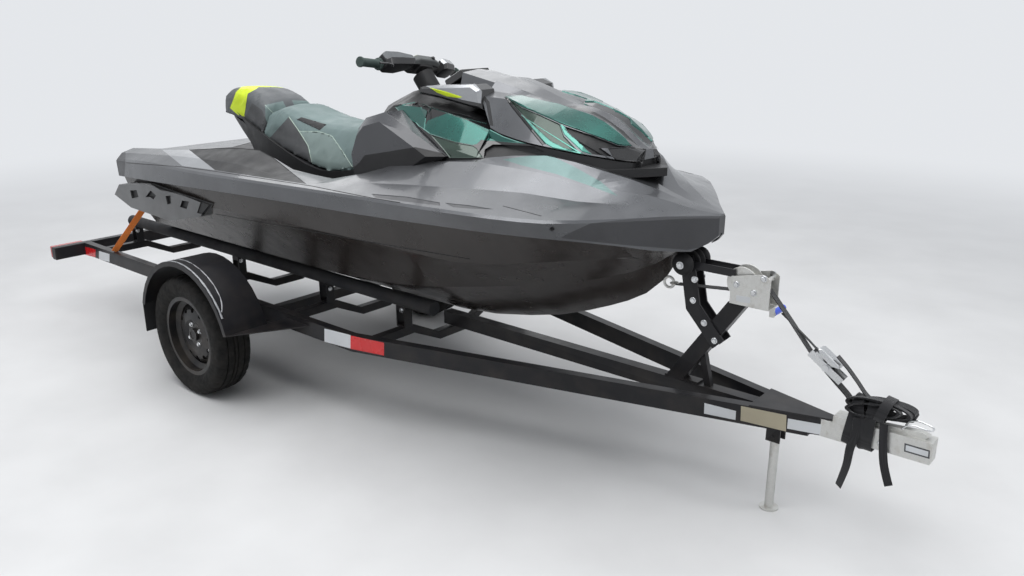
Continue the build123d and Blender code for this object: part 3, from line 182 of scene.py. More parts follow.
def dusted(t, shade, dust):
    """Patches of dust, more of it near the ground."""
    place = new(t, "SeparateXYZ", Vector=new(t, "NewGeometry").outputs["Position"])
    low = ramp(t, place.outputs["Z"], (0.15, 1.0), (0.75, 0.12))
    patch = ramp(t, noise(t, 9.0, 6.0), (0.42, 0.0), (0.72, 1.0))
    where = mix(t, 1.0, low, patch, "MULTIPLY")
    return mix(t, maths(t, "MULTIPLY", where, dust), shade, DUST)


def rubbed(t, shade, colour, wear):
    """Edges rubbed lighter."""
    edge = ramp(t, new(t, "NewGeometry").outputs["Pointiness"], (0.53, 0.0), (0.6, 1.0))
    light = tuple(min(1.0, c * 1.5 + 0.05) for c in colour)
    return mix(t, maths(t, "MULTIPLY", edge, wear), shade, light)


def painted(name, colour, rough, metal=0, flake=0, coat=0, wear=0.1, dust=0, grain=0, scale=900.0, wave=0):
    """Coated or moulded surface: mottled colour and gloss, grain, low dust and rubbed edges."""
    m, t, shader = new_material(name)
    fine = noise(t, scale, 2.0)
    dark = tuple(c * 0.86 for c in colour)
    light = tuple(min(1.0, c * 1.12 + 0.004) for c in colour)
    shade = ramp(t, noise(t, 3.1, 5.0), (0.3, dark), (0.7, light))
    if flake:
        shade = mix(t, flake, shade, ramp(t, fine, (0.45, 0.75), (0.75, 1.4)), "MULTIPLY")
    if dust:
        shade = dusted(t, shade, dust)
    if wear:
        shade = rubbed(t, shade, colour, wear)
    gloss = ramp(t, noise(t, 14.0, 6.0), (0.3, rough * 0.85), (0.75, min(1.0, rough * 1.3 + 0.02)))
    put(t, shader, Base_Color=shade, Roughness=gloss, Metallic=metal)
    put(t, shader, Coat_Weight=coat, Coat_Roughness=COAT_ROUGH)
    if grain:
        bump(t, shader, fine, grain, GRAIN_DEPTH)
    elif wave:
        bump(t, shader, noise(t, 22.0, 2.0), wave, WAVE_DEPTH)
    return m


def zinc():
    """Plated steel with its spangle, stains and uneven gloss."""
    m, t, shader = new_material("zinc_plate")
    cell = new(t, "TexVoronoi", Scale=420.0, Vector=own_place(t))
    spangle = ramp(t, cell.outputs["Color"], (0.2, tuple(c * 0.92 for c in ZINC)), (0.8, ZINC))
    stain = ramp(t, noise(t, 30.0, 6.0), (0.55, 0.0), (0.8, 0.5))
    gloss = ramp(t, noise(t, 45.0, 5.0), (0.3, 0.38), (0.8, 0.6))
    put(t, shader, Metallic=0.9, Base_Color=mix(t, stain, spangle, ZINC_STAIN), Roughness=gloss)
    bump(t, shader, noise(t, 240.0, 2.0), 0.15, GRAIN_DEPTH)
    return m


def threads(t, scale, direction):
    wave = new(t, "TexWave", Scale=scale, Vector=own_place(t))
    wave.bands_direction = direction
    return wave.outputs["Color"]


def webbing(name, colour):
    """Woven strap: a fine check of threads with ribs along it."""
    m, t, shader = new_material(name)
    thread = mix(t, 0.5, threads(t, 190.0, "Y"), threads(t, 150.0, "DIAGONAL"))
    dark, light = tuple(c * 0.6 for c in colour), tuple(min(1, c * 1.15) for c in colour)
    shade = ramp(t, thread, (0.2, dark), (0.8, light))
    put(t, shader, Roughness=0.75, Sheen_Weight=0.3, Base_Color=shade)
    bump(t, shader, thread, 0.6, THREAD_DEPTH)
    return m


def tyre_rubber():
    m, t, shader = new_material("tyre_rubber")
    shade = ramp(t, noise(t, 18.0, 8.0), (0.35, RUBBER_DARK), (0.75, RUBBER_PALE))
    gloss = ramp(t, noise(t, 60.0, 4.0), (0.3, 0.62), (0.8, 0.9))
    put(t, shader, Base_Color=shade, Roughness=gloss)
    bump(t, shader, noise(t, 420.0, 3.0), 0.35, RUBBER_DEPTH)
    return m


def vinyl(name, colour, rough=0.55, grain=0.8, scale=700.0):
    return painted(name, colour, rough, grain=grain, scale=scale)


# Name, colour, roughness, metal, flake, coat, wear, dust, grain and its scale
M = {
    "deck": painted("deck_paint", (0.12, 0.124, 0.132), 0.3, 0.75, 0.5, 0.4, 0.02, 0.02, wave=0.03),
    "hull": painted("hull_gelcoat", (0.02, 0.015, 0.013), 0.22, 0, 0, 0.1, 0.02, 0.05, wave=0.01),
    "green": painted("green_metallic", (0.008, 0.105, 0.085), 0.26, 0.7, 0.6, 0.7, 0.03, 0),
    # Painted reflection: the hood's green as the glossy deck beside it mirrors it.
    "deck_green_reflection": painted("painted_green_reflection", (0.1, 0.155, 0.15), 0.34, 0.75, 0.5, 0.25, 0, wave=0.05),
    # Dark paint on the deck's strips and stern, and painted shade on the bow's lower face, which turns down
    # from the light.
    "deck_dark_and_shade": painted("dark_paint_and_painted_shade", (0.06, 0.061, 0.066), 0.4, 0.5, 0.4, 0.2, 0.03, wave=0.05),
    # A darker copy of the green: painted shade on the hood's inset, which faces down. The side panels use it
    # too.
    "dark_green_and_shade": painted("dark_green_gloss_and_painted_shade", (0.022, 0.05, 0.034), 0.14, 0.3, 0.3, 0.6, 0),
    "mint": painted("light_green_metallic", (0.075, 0.27, 0.22), 0.28, 0.6, 0.5, 0.5, 0),
    "silver": painted("silver_paint", (0.36, 0.37, 0.385), 0.3, 0.7, 0.5, 0.3, 0),
    "black": painted("black_plastic", (0.018, 0.018, 0.019), 0.42, 0, 0, 0, 0.1, 0.03, 0.25),
    "gloss": painted("black_gloss", (0.012, 0.012, 0.013), 0.12, 0, 0, 0.5, 0.03),
    "pod": painted("pod_plastic", (0.05, 0.052, 0.058), 0.22, 0.2, 0.2, 0.3, 0.08, 0, 0.2),
    "sponson": painted("sponson_plastic", (0.15, 0.152, 0.155), 0.5, 0, 0, 0, 0.2, 0.1, 0.35),
    "frame": painted("frame_paint", (0.007, 0.007, 0.009), 0.34, 0, 0, 0.1, 0.3, 0.1, wave=0.12),
    "rim": painted("rim_paint", (0.012, 0.012, 0.013), 0.34, 0, 0, 0.2, 0.2, 0.2),
    "mat": painted("foam_mat", (0.05, 0.055, 0.056), 0.85, 0, 0, 0, 0.05, 0, 0.7, 600.0),
    "bunk": painted("bunk_cover", (0.03, 0.031, 0.034), 0.82, 0, 0, 0, 0, 0.15, 0.9, 500.0),
    "alloy": painted("cast_alloy", (0.42, 0.43, 0.44), 0.48, 0.9, 0, 0, 0.1, 0, 0.4, 500.0),
    "steel": painted("bright_steel", (0.6, 0.61, 0.62), 0.25, 1.0, 0, 0, 0.1, 0, 0.1, 700.0),
    # Pale grey of the fender lines: rubbed paint, and a painted highlight where the raised centre's edges
    # meet the light.
    "fender_wear_and_highlight": painted("edge_wear_and_painted_highlight", (0.3, 0.31, 0.325), 0.45, 0.2, 0, 0.1, 0.1, 0.1),
    "blue": painted("blue_handle", (0.01, 0.07, 0.62), 0.35, 0, 0, 0.2, 0),
    "white": painted("white_sticker", (0.62, 0.64, 0.66), 0.4, 0, 0, 0.1, 0, 0.1),
    "beige": painted("beige_sticker", (0.4, 0.36, 0.26), 0.5, 0, 0, 0, 0, 0.1),
    "red": painted("red_reflector", (0.62, 0.012, 0.014), 0.25, 0, 0, 0.3, 0),
    "piping": painted("seat_piping", (0.34, 0.42, 0.36), 0.5, 0, 0, 0, 0),
    "lamp": painted("red_lens", (0.42, 0.008, 0.01), 0.12, 0, 0, 0.4, 0),
    "grip": painted("grip_rubber", (0.03, 0.048, 0.043), 0.7, 0, 0, 0, 0.1, 0, 0.6, 700.0),
    "roller": painted("roller_rubber", (0.016, 0.016, 0.017), 0.55, 0, 0, 0, 0.15, 0, 0.4, 500.0),
    "seat_side": vinyl("seat_side_vinyl", (0.055, 0.057, 0.06)),
    "seat_top": vinyl("seat_top_vinyl", (0.125, 0.175, 0.172), 0.58),
    "seat_quilt": vinyl("seat_quilted_vinyl", (0.165, 0.215, 0.205), grain=0.9, scale=320.0),
    "seat_grey": vinyl("seat_grey_vinyl", (0.085, 0.092, 0.098)),
    "yellow": painted("yellow_green", (0.62, 0.78, 0.015), 0.5, 0, 0, 0, 0, 0, 0.3, 700.0),
    "pad": painted("bar_pad_foam", (0.09, 0.096, 0.097), 0.6, 0, 0, 0, 0.05, 0, 0.5, 600.0),
    "pad_edge": painted("bar_pad_edge", (0.28, 0.32, 0.14), 0.55, 0, 0, 0, 0.05, 0, 0.4, 600.0),
    "engine": painted("engine_cast", (0.2, 0.2, 0.21), 0.55, 0.7, 0, 0, 0.1, 0, 0.6, 300.0),
    "zinc": zinc(),
    "orange": webbing("orange_webbing", (0.98, 0.24, 0.03)),
    "strap": webbing("black_webbing", (0.022, 0.022, 0.024)),
    "tyre": tyre_rubber(),
}

# How strongly the dark, dusty surfaces mirror what is around them
MIRRORING = {
    "frame": 0.2, "tyre": 0.15, "rim": 0.22, "roller": 0.2, "bunk": 0.25, "strap": 0.15, "black": 0.28,
    "mat": 0.2, "hull": 0.38,
}
for key, level in MIRRORING.items():
    put(M[key].node_tree, M[key].node_tree.nodes["Principled BSDF"], Specular_IOR_Level=level)

# The nodes that each material covers
SHOWN = {
    "hull": "hull",
    "deck": "deck hood",
    "mat": "footwell_mats",
    "black": "stern_bumper console glovebox_lid splitter seat_base",
    "sponson": "sponsons",
    "zinc": "tow_eyes winch_frame winch_drum winch_crank coupler prop_leg bow_hook",
    "engine": "engine",
    "gloss": "side_panels mirrors gauge handlebar",
    "pod": "knee_pods",
    "seat_top": "seat_front",
    "seat_side": "seat_rear",
    "roller": "steering_column bow_roller mud_flaps",
    "grip": "grips",
    "alloy": "jet_pump steering_nozzle reverse_bucket ride_plate intake_grate",
    "steel": "impeller",
    "frame": "rails spine crossmembers rear_bar nose_plate axle springs bunk_brackets fenders winch_post",
    "lamp": "tail_lamps",
    "bunk": "bunks",
    "rim": "rim_left rim_right",
    "tyre": "tyre_left tyre_right",
    "orange": "stern_strap",
    "strap": "winch_strap",
}


# Panels

# How wide the slope is round a panel that is set off
SLOPE = 0.0025


def inside(p, outline):
    """True if a pixel lies in an outline of pixels."""
    x, y = p
    hit = False
    for (x0, y0), (x1, y1) in zip(outline, outline[1:] + outline[:1]):
        if (y0 > y) != (y1 > y) and x < x0 + (y - y0) / (y1 - y0) * (x1 - x0):
            hit = not hit
    return hit


def faces_camera(f):
    return (f.calc_center_median() - EYE).dot(f.normal) < 0


def near_line(spots, p, q):
    """True if pixels come within one pixel of the box round a line."""
    for i in (0, 1):
        low, high = sorted((p[i], q[i]))
        if max(s[i] for s in spots) < low - 1 or min(s[i] for s in spots) > high + 1:
            return False
    return True


def set_off(b, faces, depth):
    """Moves faces along their normals by depth, with a narrow slope round them and no corner much further."""
    flat = [v.co.copy() for v in {v for f in faces for v in f.verts}]
    before = KDTree(len(flat))
    for k, spot in enumerate(flat):
        before.insert(spot, k)
    before.balance()
    bmesh.ops.inset_region(b, faces=faces, thickness=SLOPE, depth=depth, use_even_offset=True,
                           use_boundary=False)
    most = 2 * SLOPE + 1.5 * abs(depth)
    for v in {v for f in faces for v in f.verts}:
        start, _, gap = before.find(v.co)
        if gap > most:
            v.co = start + (v.co - start) * (most / gap)


def region(b, outline, slot, raised):
    """Cuts the mesh along an outline drawn over it in the photograph, gives what lies inside a material
    slot, and sets it back or forward by raised."""
    places = {}

    def spots(f):
        for v in f.verts:
            if v not in places:
                places[v] = seen(v.co)
        return [places[v] for v in f.verts]

    for p, q in zip(outline, outline[1:] + outline[:1]):
        near = [f for f in b.faces if near_line(spots(f), p, q) and faces_camera(f)]
        geom = near + list({e for f in near for e in f.edges}) + list({v for f in near for v in f.verts})
        if near:
            side = ray(*p).cross(ray(*q)).normalized()
            bmesh.ops.bisect_plane(b, geom=geom, dist=WELD, plane_co=EYE, plane_no=side)
    found = [f for f in b.faces if inside(seen(f.calc_center_median()), outline) and faces_camera(f)]
    for f in found:
        f.material_index = slot
    if raised and found:
        set_off(b, found, raised)


def mirror_mesh(b):
    """Adds the port half of a mesh that has only its starboard half."""
    for v in b.verts:
        if abs(v.co.y) < 1.5 * WELD:
            v.co.y = 0.0
    twin = bmesh.ops.duplicate(b, geom=b.verts[:] + b.edges[:] + b.faces[:])["geom"]
    for v in twin:
        if isinstance(v, bmesh.types.BMVert):
            v.co.y = -v.co.y
    bmesh.ops.reverse_faces(b, faces=[f for f in twin if isinstance(f, bmesh.types.BMFace)])
    bmesh.ops.remove_doubles(b, verts=b.verts, dist=WELD / 2)


def cut_panels(b, key, panels):
    """Cuts and paints a mesh's starboard half along its panels, then mirrors it. Returns its materials."""
    bmesh.ops.bisect_plane(b, geom=b.verts[:] + b.edges[:] + b.faces[:], dist=WELD, plane_co=(0, 0, 0),
                           plane_no=(0, 1, 0), clear_outer=True)
    keys = [key]
    for outline, paint, raised in panels:
        if paint not in keys:
            keys.append(paint)
        region(b, outline, keys.index(paint), raised)
    mirror_mesh(b)
    return keys


def cover(mesh, keys):
    """Gives a mesh its materials."""
    mesh.materials.clear()
    for key in keys:
        mesh.materials.append(M[key])


LOOKS = {}
# Faces that meet at less than FLAT are one face, and at more than BEND they make a sharp edge. On the shells
# CREASE is enough for an edge that runs more lengthwise than LENGTHWISE.
FLAT, BEND, CREASE = radians(0.6), radians(28.0), radians(4.0)
LENGTHWISE = 0.35
SHELLS = ("deck", "hull", "hood")


def link(name, data):
    o = bpy.data.objects.new(name, data)
    bpy.context.scene.collection.objects.link(o)
    return o


def bevelled(o, width, segments):
    mod = o.modifiers.new("Bevel", "BEVEL")
    mod.width = width
    mod.segments = segments
    mod.harden_normals = True
    return mod


def dress(name, key, ease, panels):
    """The CAD node's own form with its edges eased and its shading smooth, cut along its panels."""
    source = NODES[name]
    mesh = source.data.copy()
    mesh.name = name + "_look"
    b = bmesh.new()
    b.from_mesh(mesh)
    bmesh.ops.remove_doubles(b, verts=b.verts, dist=WELD)
    bmesh.ops.dissolve_limit(b, angle_limit=FLAT, verts=b.verts, edges=b.edges)
    keys = cut_panels(b, key, panels) if panels else [key]
    b.normal_update()
    weight = b.edges.layers.float.new("bevel_weight_edge")
    for f in b.faces:
        f.smooth = True
    for e in b.edges:
        bend = e.calc_face_angle(0.0) if len(e.link_faces) == 2 else 0.0
        along = abs((e.verts[0].co - e.verts[1].co).normalized().x) > LENGTHWISE
        sharp = bend >= (CREASE if name in SHELLS and along else BEND)
        e.smooth = not sharp and len({f.material_index for f in e.link_faces}) == 1
        e[weight] = 1.0 if sharp else 0.0
    cover(mesh, keys)
    b.to_mesh(mesh)
    b.free()
    o = link(name + "_look", mesh)
    bevelled(o, ease, 3 if ease > WIDE_EASE else 2).limit_method = "WEIGHT"
    LOOKS[name] = o
    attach(o, source["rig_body"])
    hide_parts(name)


# Outlines seen in the photograph, in its pixels: outline, material, how far it stands out in metres
HOOD_REGIONS = (
    (((559.5, 104.8), (584.5, 106.8), (604.3, 117.2), (623.3, 130.9), (639.6, 147.3), (631, 146.1),
      (625.8, 139.5), (612.9, 127.5), (590.5, 115.1)), "gloss", 0.0),
    (((505.3, 96.8), (521.7, 96.1), (529.4, 98.2), (559.5, 104.8), (590.5, 115.1), (612.9, 127.5),
      (625.8, 139.5), (631, 146.1), (618.1, 145.2), (604.3, 139.5), (590.5, 134.4), (576.8, 129.2),
      (559.5, 123.2), (538.9, 113.7), (521.7, 106.8)), "green", 0.004),
    # Inset below the green: its darker green is painted shade, as the face turns down.
    (((507, 97.5), (521.7, 107.7), (538.9, 114.6), (559.5, 124), (563.9, 136.1), (580.2, 153.3),
      (566.4, 149), (550.9, 141.3), (537.2, 129.2), (521.7, 113.7)), "dark_green_and_shade", -0.006),
    (((521.7, 114.6), (537.2, 129.2), (550.9, 141.3), (566.4, 149), (580.2, 153.3), (592.3, 155.5),
      (573.3, 152.2), (552.7, 148), (545.8, 144), (533.7, 130.2), (523.4, 118.2)), "mint", 0.002),
    (((504, 96.8), (507.5, 97.8), (521.7, 114.6), (533.7, 130.2), (545.8, 144), (542.5, 145.6),
      (527, 126.5), (512, 108)), "gloss", -0.004),
    (((559.5, 124), (563.9, 134.4), (581.9, 151.6), (592.3, 155), (590.5, 153.3), (580.2, 143.9),
      (567.3, 131.8), (564.7, 126.2)), "mint", 0.002),
    (((565, 126.4), (590.5, 134.8), (618.1, 145.6), (630.2, 146.4), (607.8, 148.2), (600.9, 148.2),
      (612.9, 156.8), (592.3, 154.2), (580.2, 143.9), (567.6, 131.8)), "black", -0.008),
    (((607.8, 148.4), (630.2, 146.6), (646.5, 149), (643.9, 164), (616.4, 161.5), (612.9, 157)), "gloss",
      -0.003),
    (((470.5, 84), (472.5, 83), (482, 92.5), (489.5, 102), (493.5, 126), (490, 125.5), (486, 103),
      (479, 94)), "gloss", 0.0),
)
DECK_REGIONS = (
    # Painted reflection of the green hood on the deck beside it.
    (((502.7, 159.4), (545.8, 153.3), (573.3, 166.2), (600.9, 181.7), (618.1, 196.4), (590.5, 186),
      (556.1, 174), (521.7, 165.4)), "deck_green_reflection", 0.0),
    (((371.4, 193.8), (406.7, 196.6), (439.8, 202.5), (439.8, 205.6), (406.7, 201.8), (376.1, 197.8)),
      "deck_dark_and_shade", -0.002),
    (((444.8, 202.8), (468.9, 205.1), (494.1, 209.2), (475.8, 209.0), (452.8, 207.2)), "deck_dark_and_shade", -0.002),
    # The bow's lower face: painted shade, a darker grey because it faces down.
    (((565.3, 234.9), (590.5, 223.5), (629.6, 218.9), (664, 216.6), (727, 216.0), (723, 232), (706, 246.5),
      (687, 250), (629.6, 245.5), (560.7, 238.2)), "deck_dark_and_shade", 0.0),
    (((189, 149.7), (258.8, 145.8), (306.6, 184.1), (214.8, 170.1)), "black", -0.002),
    (((162.2, 149.7), (189, 149.7), (214.8, 170.1), (182.3, 165.9)), "silver", 0.0),
    (((105, 146), (126, 146), (124.5, 176), (105, 180)), "deck_dark_and_shade", 0.0),
)
SEAT_SIDE_FRONT = ((265.8, 142.3), (288.5, 117), (299.3, 131.5), (308.2, 146), (314, 172.5), (303, 178),
                   (262, 150))
SEAT_PANEL = ((299.3, 131.5), (318.5, 131.5), (332, 136), (341, 149), (352.9, 167.2), (317.1, 174.4),
              (311.5, 162), (307.5, 146))
PANEL_REGIONS = (
    (((392, 105.3), (397.1, 101.2), (405.3, 99.2), (417.6, 102.2), (440, 110.4), (462.4, 117.6),
      (491, 124.7), (500, 127.8), (545, 144), (525.8, 143.8), (481.2, 140), (476.7, 144.1), (472.7, 145.1),
      (455.3, 142), (429.8, 133.9), (421.6, 127.8), (405.3, 118.6), (397.1, 111.4)), "green", -0.002),
    (((430.5, 134.9), (455.3, 142.6), (472.7, 145.7), (476.5, 148), (483, 157.5), (450.2, 158.3),
      (443.1, 149.2)), "dark_green_and_shade", -0.002),
    (((381.8, 106.3), (389, 103.3), (395.1, 113.5), (403.3, 120.6), (395.1, 121.6), (383.9, 111.4)),
      "dark_green_and_shade", -0.002),
)
SPONSON_REGIONS = (
    (((146, 181), (170, 184), (201.5, 190.7), (213, 203.7), (204, 215), (197, 213), (200.5, 202.5),
      (180, 194), (160, 190)), "black", -0.004),
    (((130, 190.5), (136.5, 190), (138.5, 197), (132, 198.5)), "black", -0.01),
    (((145.5, 197), (150.5, 190.5), (156, 195.5), (153.5, 199.5), (150, 197)), "black", -0.01),
    (((165.5, 196), (170.5, 195.5), (171, 203.5), (167.5, 204.5)), "black", -0.01),
    (((180, 207), (182, 200.5), (189, 201.5), (186.5, 209)), "black", -0.01),
)
CONSOLE_REGIONS = (
    (((475.6, 142.7), (481.2, 140.4), (525.8, 143.8), (544.8, 151.6), (522.5, 155), (482.3, 156.1),
      (476.7, 149.4)), "black", -0.006),
)
POD_REGIONS = (
    (((350, 170), (359.4, 162.4), (364.5, 155.3), (415.5, 147.1), (443.1, 153.3), (452, 160), (400, 188),
      (352, 190)), "black", 0.0),
)
MIRROR_REGIONS = (
    (((421.6, 84), (473.4, 82), (482, 91.3), (481, 103.5), (462.2, 99.8), (429.9, 88)), "silver", 0.0),
    (((429.9, 87.6), (446, 91.5), (462.2, 96.9), (459, 98.2), (446.6, 96.4), (437, 92.6)), "yellow", 0.001),
)
REGIONS = {
    "hood": HOOD_REGIONS, "deck": DECK_REGIONS, "console": CONSOLE_REGIONS, "knee_pods": POD_REGIONS,
    "mirrors": MIRROR_REGIONS, "side_panels": PANEL_REGIONS, "sponsons": SPONSON_REGIONS,
}
# How wide an edge is eased if nothing else is said, and from where on it takes three steps
EASE, WIDE_EASE = 0.0012, 0.002
# How wide each other node's edges are eased, in metres
EASED = {
    "deck": 0.0015, "hull": 0.0015, "splitter": 0.003, "knee_pods": 0.012, "console": 0.006,
    "mirrors": 0.004, "gauge": 0.006, "sponsons": 0.005, "stern_bumper": 0.006, "glovebox_lid": 0.003,
    "coupler": 0.003, "rails": 0.004, "rear_bar": 0.004, "crossmembers": 0.003, "engine": 0.02,
    "bow_roller": 0.005, "tail_lamps": 0.004, "fenders": 0.0015,
}
# Nodes that this script makes anew
REMADE = ("seat_front", "seat_rear", "handlebar", "grips", "tyre_left", "tyre_right", "stern_strap")

KEY_OF = {name: key for key, names in SHOWN.items() for name in names.split()}
for name, node in NODES.items():
    cover(node.data, [KEY_OF[name]])
    if name not in REMADE:
        dress(name, KEY_OF[name], EASED.get(name, EASE), REGIONS.get(name, ()))


# Seats

VOXEL = 0.008
# How far the cloth starts inside the solid, may end outside it, and may pass the solid's box
INSET, CAP, PAST = 0.004, 0.01, 0.004
PRESSURE = 4.0
FRAMES = 20


def apply(o, mod):
    bpy.context.view_layer.objects.active = o
    bpy.ops.object.modifier_apply(modifier=mod.name)


def skin(o):
    """One even, rounded mesh over the whole solid."""
    mod = o.modifiers.new("Remesh", "REMESH")
    mod.mode = "VOXEL"
    mod.voxel_size = VOXEL
    mod.use_smooth_shade = True
    apply(o, mod)
    soft = o.modifiers.new("Smooth", "LAPLACIANSMOOTH")
    soft.iterations = 6
    soft.lambda_factor = 0.8
    soft.use_volume_preserve = True
    apply(o, soft)


def puff(o):
    """Swells the cover with a cloth simulation under pressure."""
    rest = [v.co.copy() for v in o.data.vertices]
    for v in o.data.vertices:
        v.co -= v.normal * INSET
    cloth = o.modifiers.new("Cloth", "CLOTH")
    cloth.settings.use_pressure = True
    cloth.settings.uniform_pressure_force = PRESSURE
    cloth.settings.effector_weights.gravity = 0.0
    cloth.point_cache.frame_start, cloth.point_cache.frame_end = 1, FRAMES
    for k in range(1, FRAMES + 1):
        bpy.context.scene.frame_set(k)
    apply(o, cloth)
    bpy.context.scene.frame_set(1)
    for v, a in zip(o.data.vertices, rest):
        move = v.co - a
        if move.length > CAP:
            v.co = a + move * (CAP / move.length)


def cushion(name, key, panels):
    """A seat's solid as a filled cover, its panels coloured along the photograph's lines."""
    source = NODES[name]
    mesh = source.data.copy()
    b = bmesh.new()
    b.from_mesh(mesh)
    bmesh.ops.remove_doubles(b, verts=b.verts, dist=WELD)
    bmesh.ops.recalc_face_normals(b, faces=b.faces)
    b.to_mesh(mesh)
    b.free()
    o = link(name + "_look", mesh)
    skin(o)
    puff(o)
    low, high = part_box(name)
    for v in o.data.vertices:
        v.co = [min(max(c, lo - PAST), hi + PAST) for c, lo, hi in zip(v.co, low, high)]
    b = bmesh.new()
    b.from_mesh(o.data)
    keys = cut_panels(b, key, panels)
    for f in b.faces:
        f.smooth = True
    cover(o.data, keys)
    b.to_mesh(o.data)
    b.free()
    LOOKS[name] = o
    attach(o, source["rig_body"])
    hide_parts(name)


cushion("seat_front", "seat_top", (
    (SEAT_SIDE_FRONT, "seat_side", 0.0),
    (SEAT_PANEL, "seat_quilt", 0.0015),
    (((296.8, 119.5), (301.5, 117), (326.5, 124.5), (319.8, 130.2)), "black", 0.002),
))
cushion("seat_rear", "seat_grey", (
    (((265, 105), (283, 101), (289.5, 114), (287, 118), (272, 134), (266, 130)), "seat_top", 0.0),
    (((250, 128), (236, 112), (246, 116), (252, 103), (262, 110), (272, 134), (268, 137)), "seat_side", 0.0),
    (((230, 108), (236, 92), (244, 84), (262, 84), (256.9, 88.5), (247.8, 93.6), (244.5, 116.5), (238, 115)),
     "yellow", 0.0),
))


# Small pieces

TREES = {}
# How far a thin line is sunk, as a share of its radius, and how many pixels apart its points are found
SINK, STRIDE = 0.3, 3.0


def probe(name, origin, way):
    """Point and normal where a line in space meets a piece."""
    if name not in TREES:
        mesh = LOOKS[name].data
        TREES[name] = BVHTree.FromPolygons([v.co for v in mesh.vertices], [p.vertices for p in mesh.polygons])
    spot, normal, _, _ = TREES[name].ray_cast(origin, way)
    return (spot, normal) if spot else None


def cast(name, pixel):
    """Point and normal where a pixel of the photograph meets a piece."""
    return probe(name, EYE, ray(*pixel))


def on_plane(px, py, y):
    """Where a pixel's ray meets the upright plane at y."""
    way = ray(px, py)
    return EYE + way * ((y - EYE.y) / way.y)


def finish_piece(o, key, body, smooth=35.0):
    o.data.materials.append(M[key])
    if o.type == "MESH":
        b = bmesh.new()
        b.from_mesh(o.data)
        bmesh.ops.recalc_face_normals(b, faces=b.faces)
        for f in b.faces:
            f.smooth = True
        for e in b.edges:
            e.smooth = len(e.link_faces) == 2 and e.calc_face_angle(0.0) < radians(smooth)
        b.to_mesh(o.data)
        b.free()
    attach(o, body)
    return o


def piece(name, verts, faces, key, body=ROOT, bevel=0.0):
    mesh = bpy.data.meshes.new(name)
    mesh.from_pydata([tuple(v) for v in verts], [], faces)
    o = link(name, mesh)
    if bevel:
        bevelled(o, bevel, 2).angle_limit = radians(30)
    return finish_piece(o, key, body)


def frame_at(point, normal, along):
    """Matrix at a point, its Z along normal and its X near along."""
    z = normal.normalized()
    x = (along - z * z.dot(along)).normalized()
    return Matrix.Translation(point) @ Matrix((x, z.cross(x), z)).transposed().to_4x4()


def circle(place, radius, height, steps):
    """Points of a circle about the place's Z."""
    turns = [2 * pi * k / steps for k in range(steps)]
    return [place @ Vector((radius * cos(a), radius * sin(a), height)) for a in turns]


def band(a, c, n):
    """Faces between two loops of n points, which start at a and c."""
    return [(a + k, a + (k + 1) % n, c + (k + 1) % n, c + k) for k in range(n)]


def caps(start, end, n):
    """Faces that close the first and the last loop of n points."""
    return [tuple(range(start, start + n))[::-1], tuple(range(end - n, end))]


def rings(name, loops, key, body=ROOT, closed=False):
    """Skin through loops that have the same number of points."""
    n = len(loops[0])
    verts = [v for loop in loops for v in loop]
    faces = []
    for i in range(len(loops) if closed else len(loops) - 1):
        faces += band(i * n, (i + 1) % len(loops) * n, n)
    if not closed:
        faces += caps(0, len(verts), n)
    return piece(name, verts, faces, key, body)


# Turns a place's Z to port
TO_PORT = Matrix.Rotation(radians(-90), 4, "X")


def lathe(name, place, profile, key, body=ROOT, steps=40, closed=False):
    """Turned about the place's Z, from rows of height and radius."""
    return rings(name, [circle(place, r, h, steps) for h, r in profile], key, body, closed)


def tube(name, points, radius, key, body=ROOT, both=False):
    """Round bar on a smooth line through control points, on both sides of the craft if asked."""
    curve = bpy.data.curves.new(name, "CURVE")
    curve.dimensions = "3D"
    curve.bevel_depth = radius
    curve.bevel_resolution = 3
    curve.use_fill_caps = True
    for side in ((1, -1) if both else (1,)):
        spline = curve.splines.new("NURBS")
        spline.points.add(len(points) - 1)
        for target, v in zip(spline.points, points):
            target.co = (v[0], v[1] * side, v[2], 1)
        spline.order_u = min(3, len(points))
        spline.use_endpoint_u = True
    finish_piece(link(name, curve), key, body)


def smooth_line(points, count=8):
    """Points evenly told off along a smooth line through its corners."""
    out = []
    n = len(points)
    for i in range(n - 1):
        p0, p1, p2, p3 = (points[max(i - 1, 0)], points[i], points[i + 1], points[min(i + 2, n - 1)])
        for k in range(count):
            t = k / count
            out.append(0.5 * ((2 * p1) + (p2 - p0) * t + (2 * p0 - 5 * p1 + 4 * p2 - p3) * t * t
                              + (3 * p1 - p0 - 3 * p2 + p3) * t ** 3))
    return out + [points[-1]]


def ribbon(name, points, across, width, thick, key="strap"):
    """Flat strap along a smooth line, its width along across, which may turn along the line."""
    line = smooth_line(points)
    last = len(line) - 1
    loops = []
    for i, p in enumerate(line):
        way = (line[min(i + 1, last)] - line[max(i - 1, 0)]).normalized()
        side = Vector(across(i / last) if callable(across) else across)
        side = (side - way * side.dot(way)).normalized() * (width / 2)
        up = way.cross(side).normalized() * (thick / 2)
        loops.append([p + side + up, p - side + up, p - side - up, p + side - up])
    return rings(name, loops, key)


def webbing_drawn(name, pixels, y, across, width, thick):
    """Black strap along pixels of the photograph, in the upright plane at y."""
    ribbon(name, [on_plane(px, py, y) for px, py in pixels], across, width, thick)


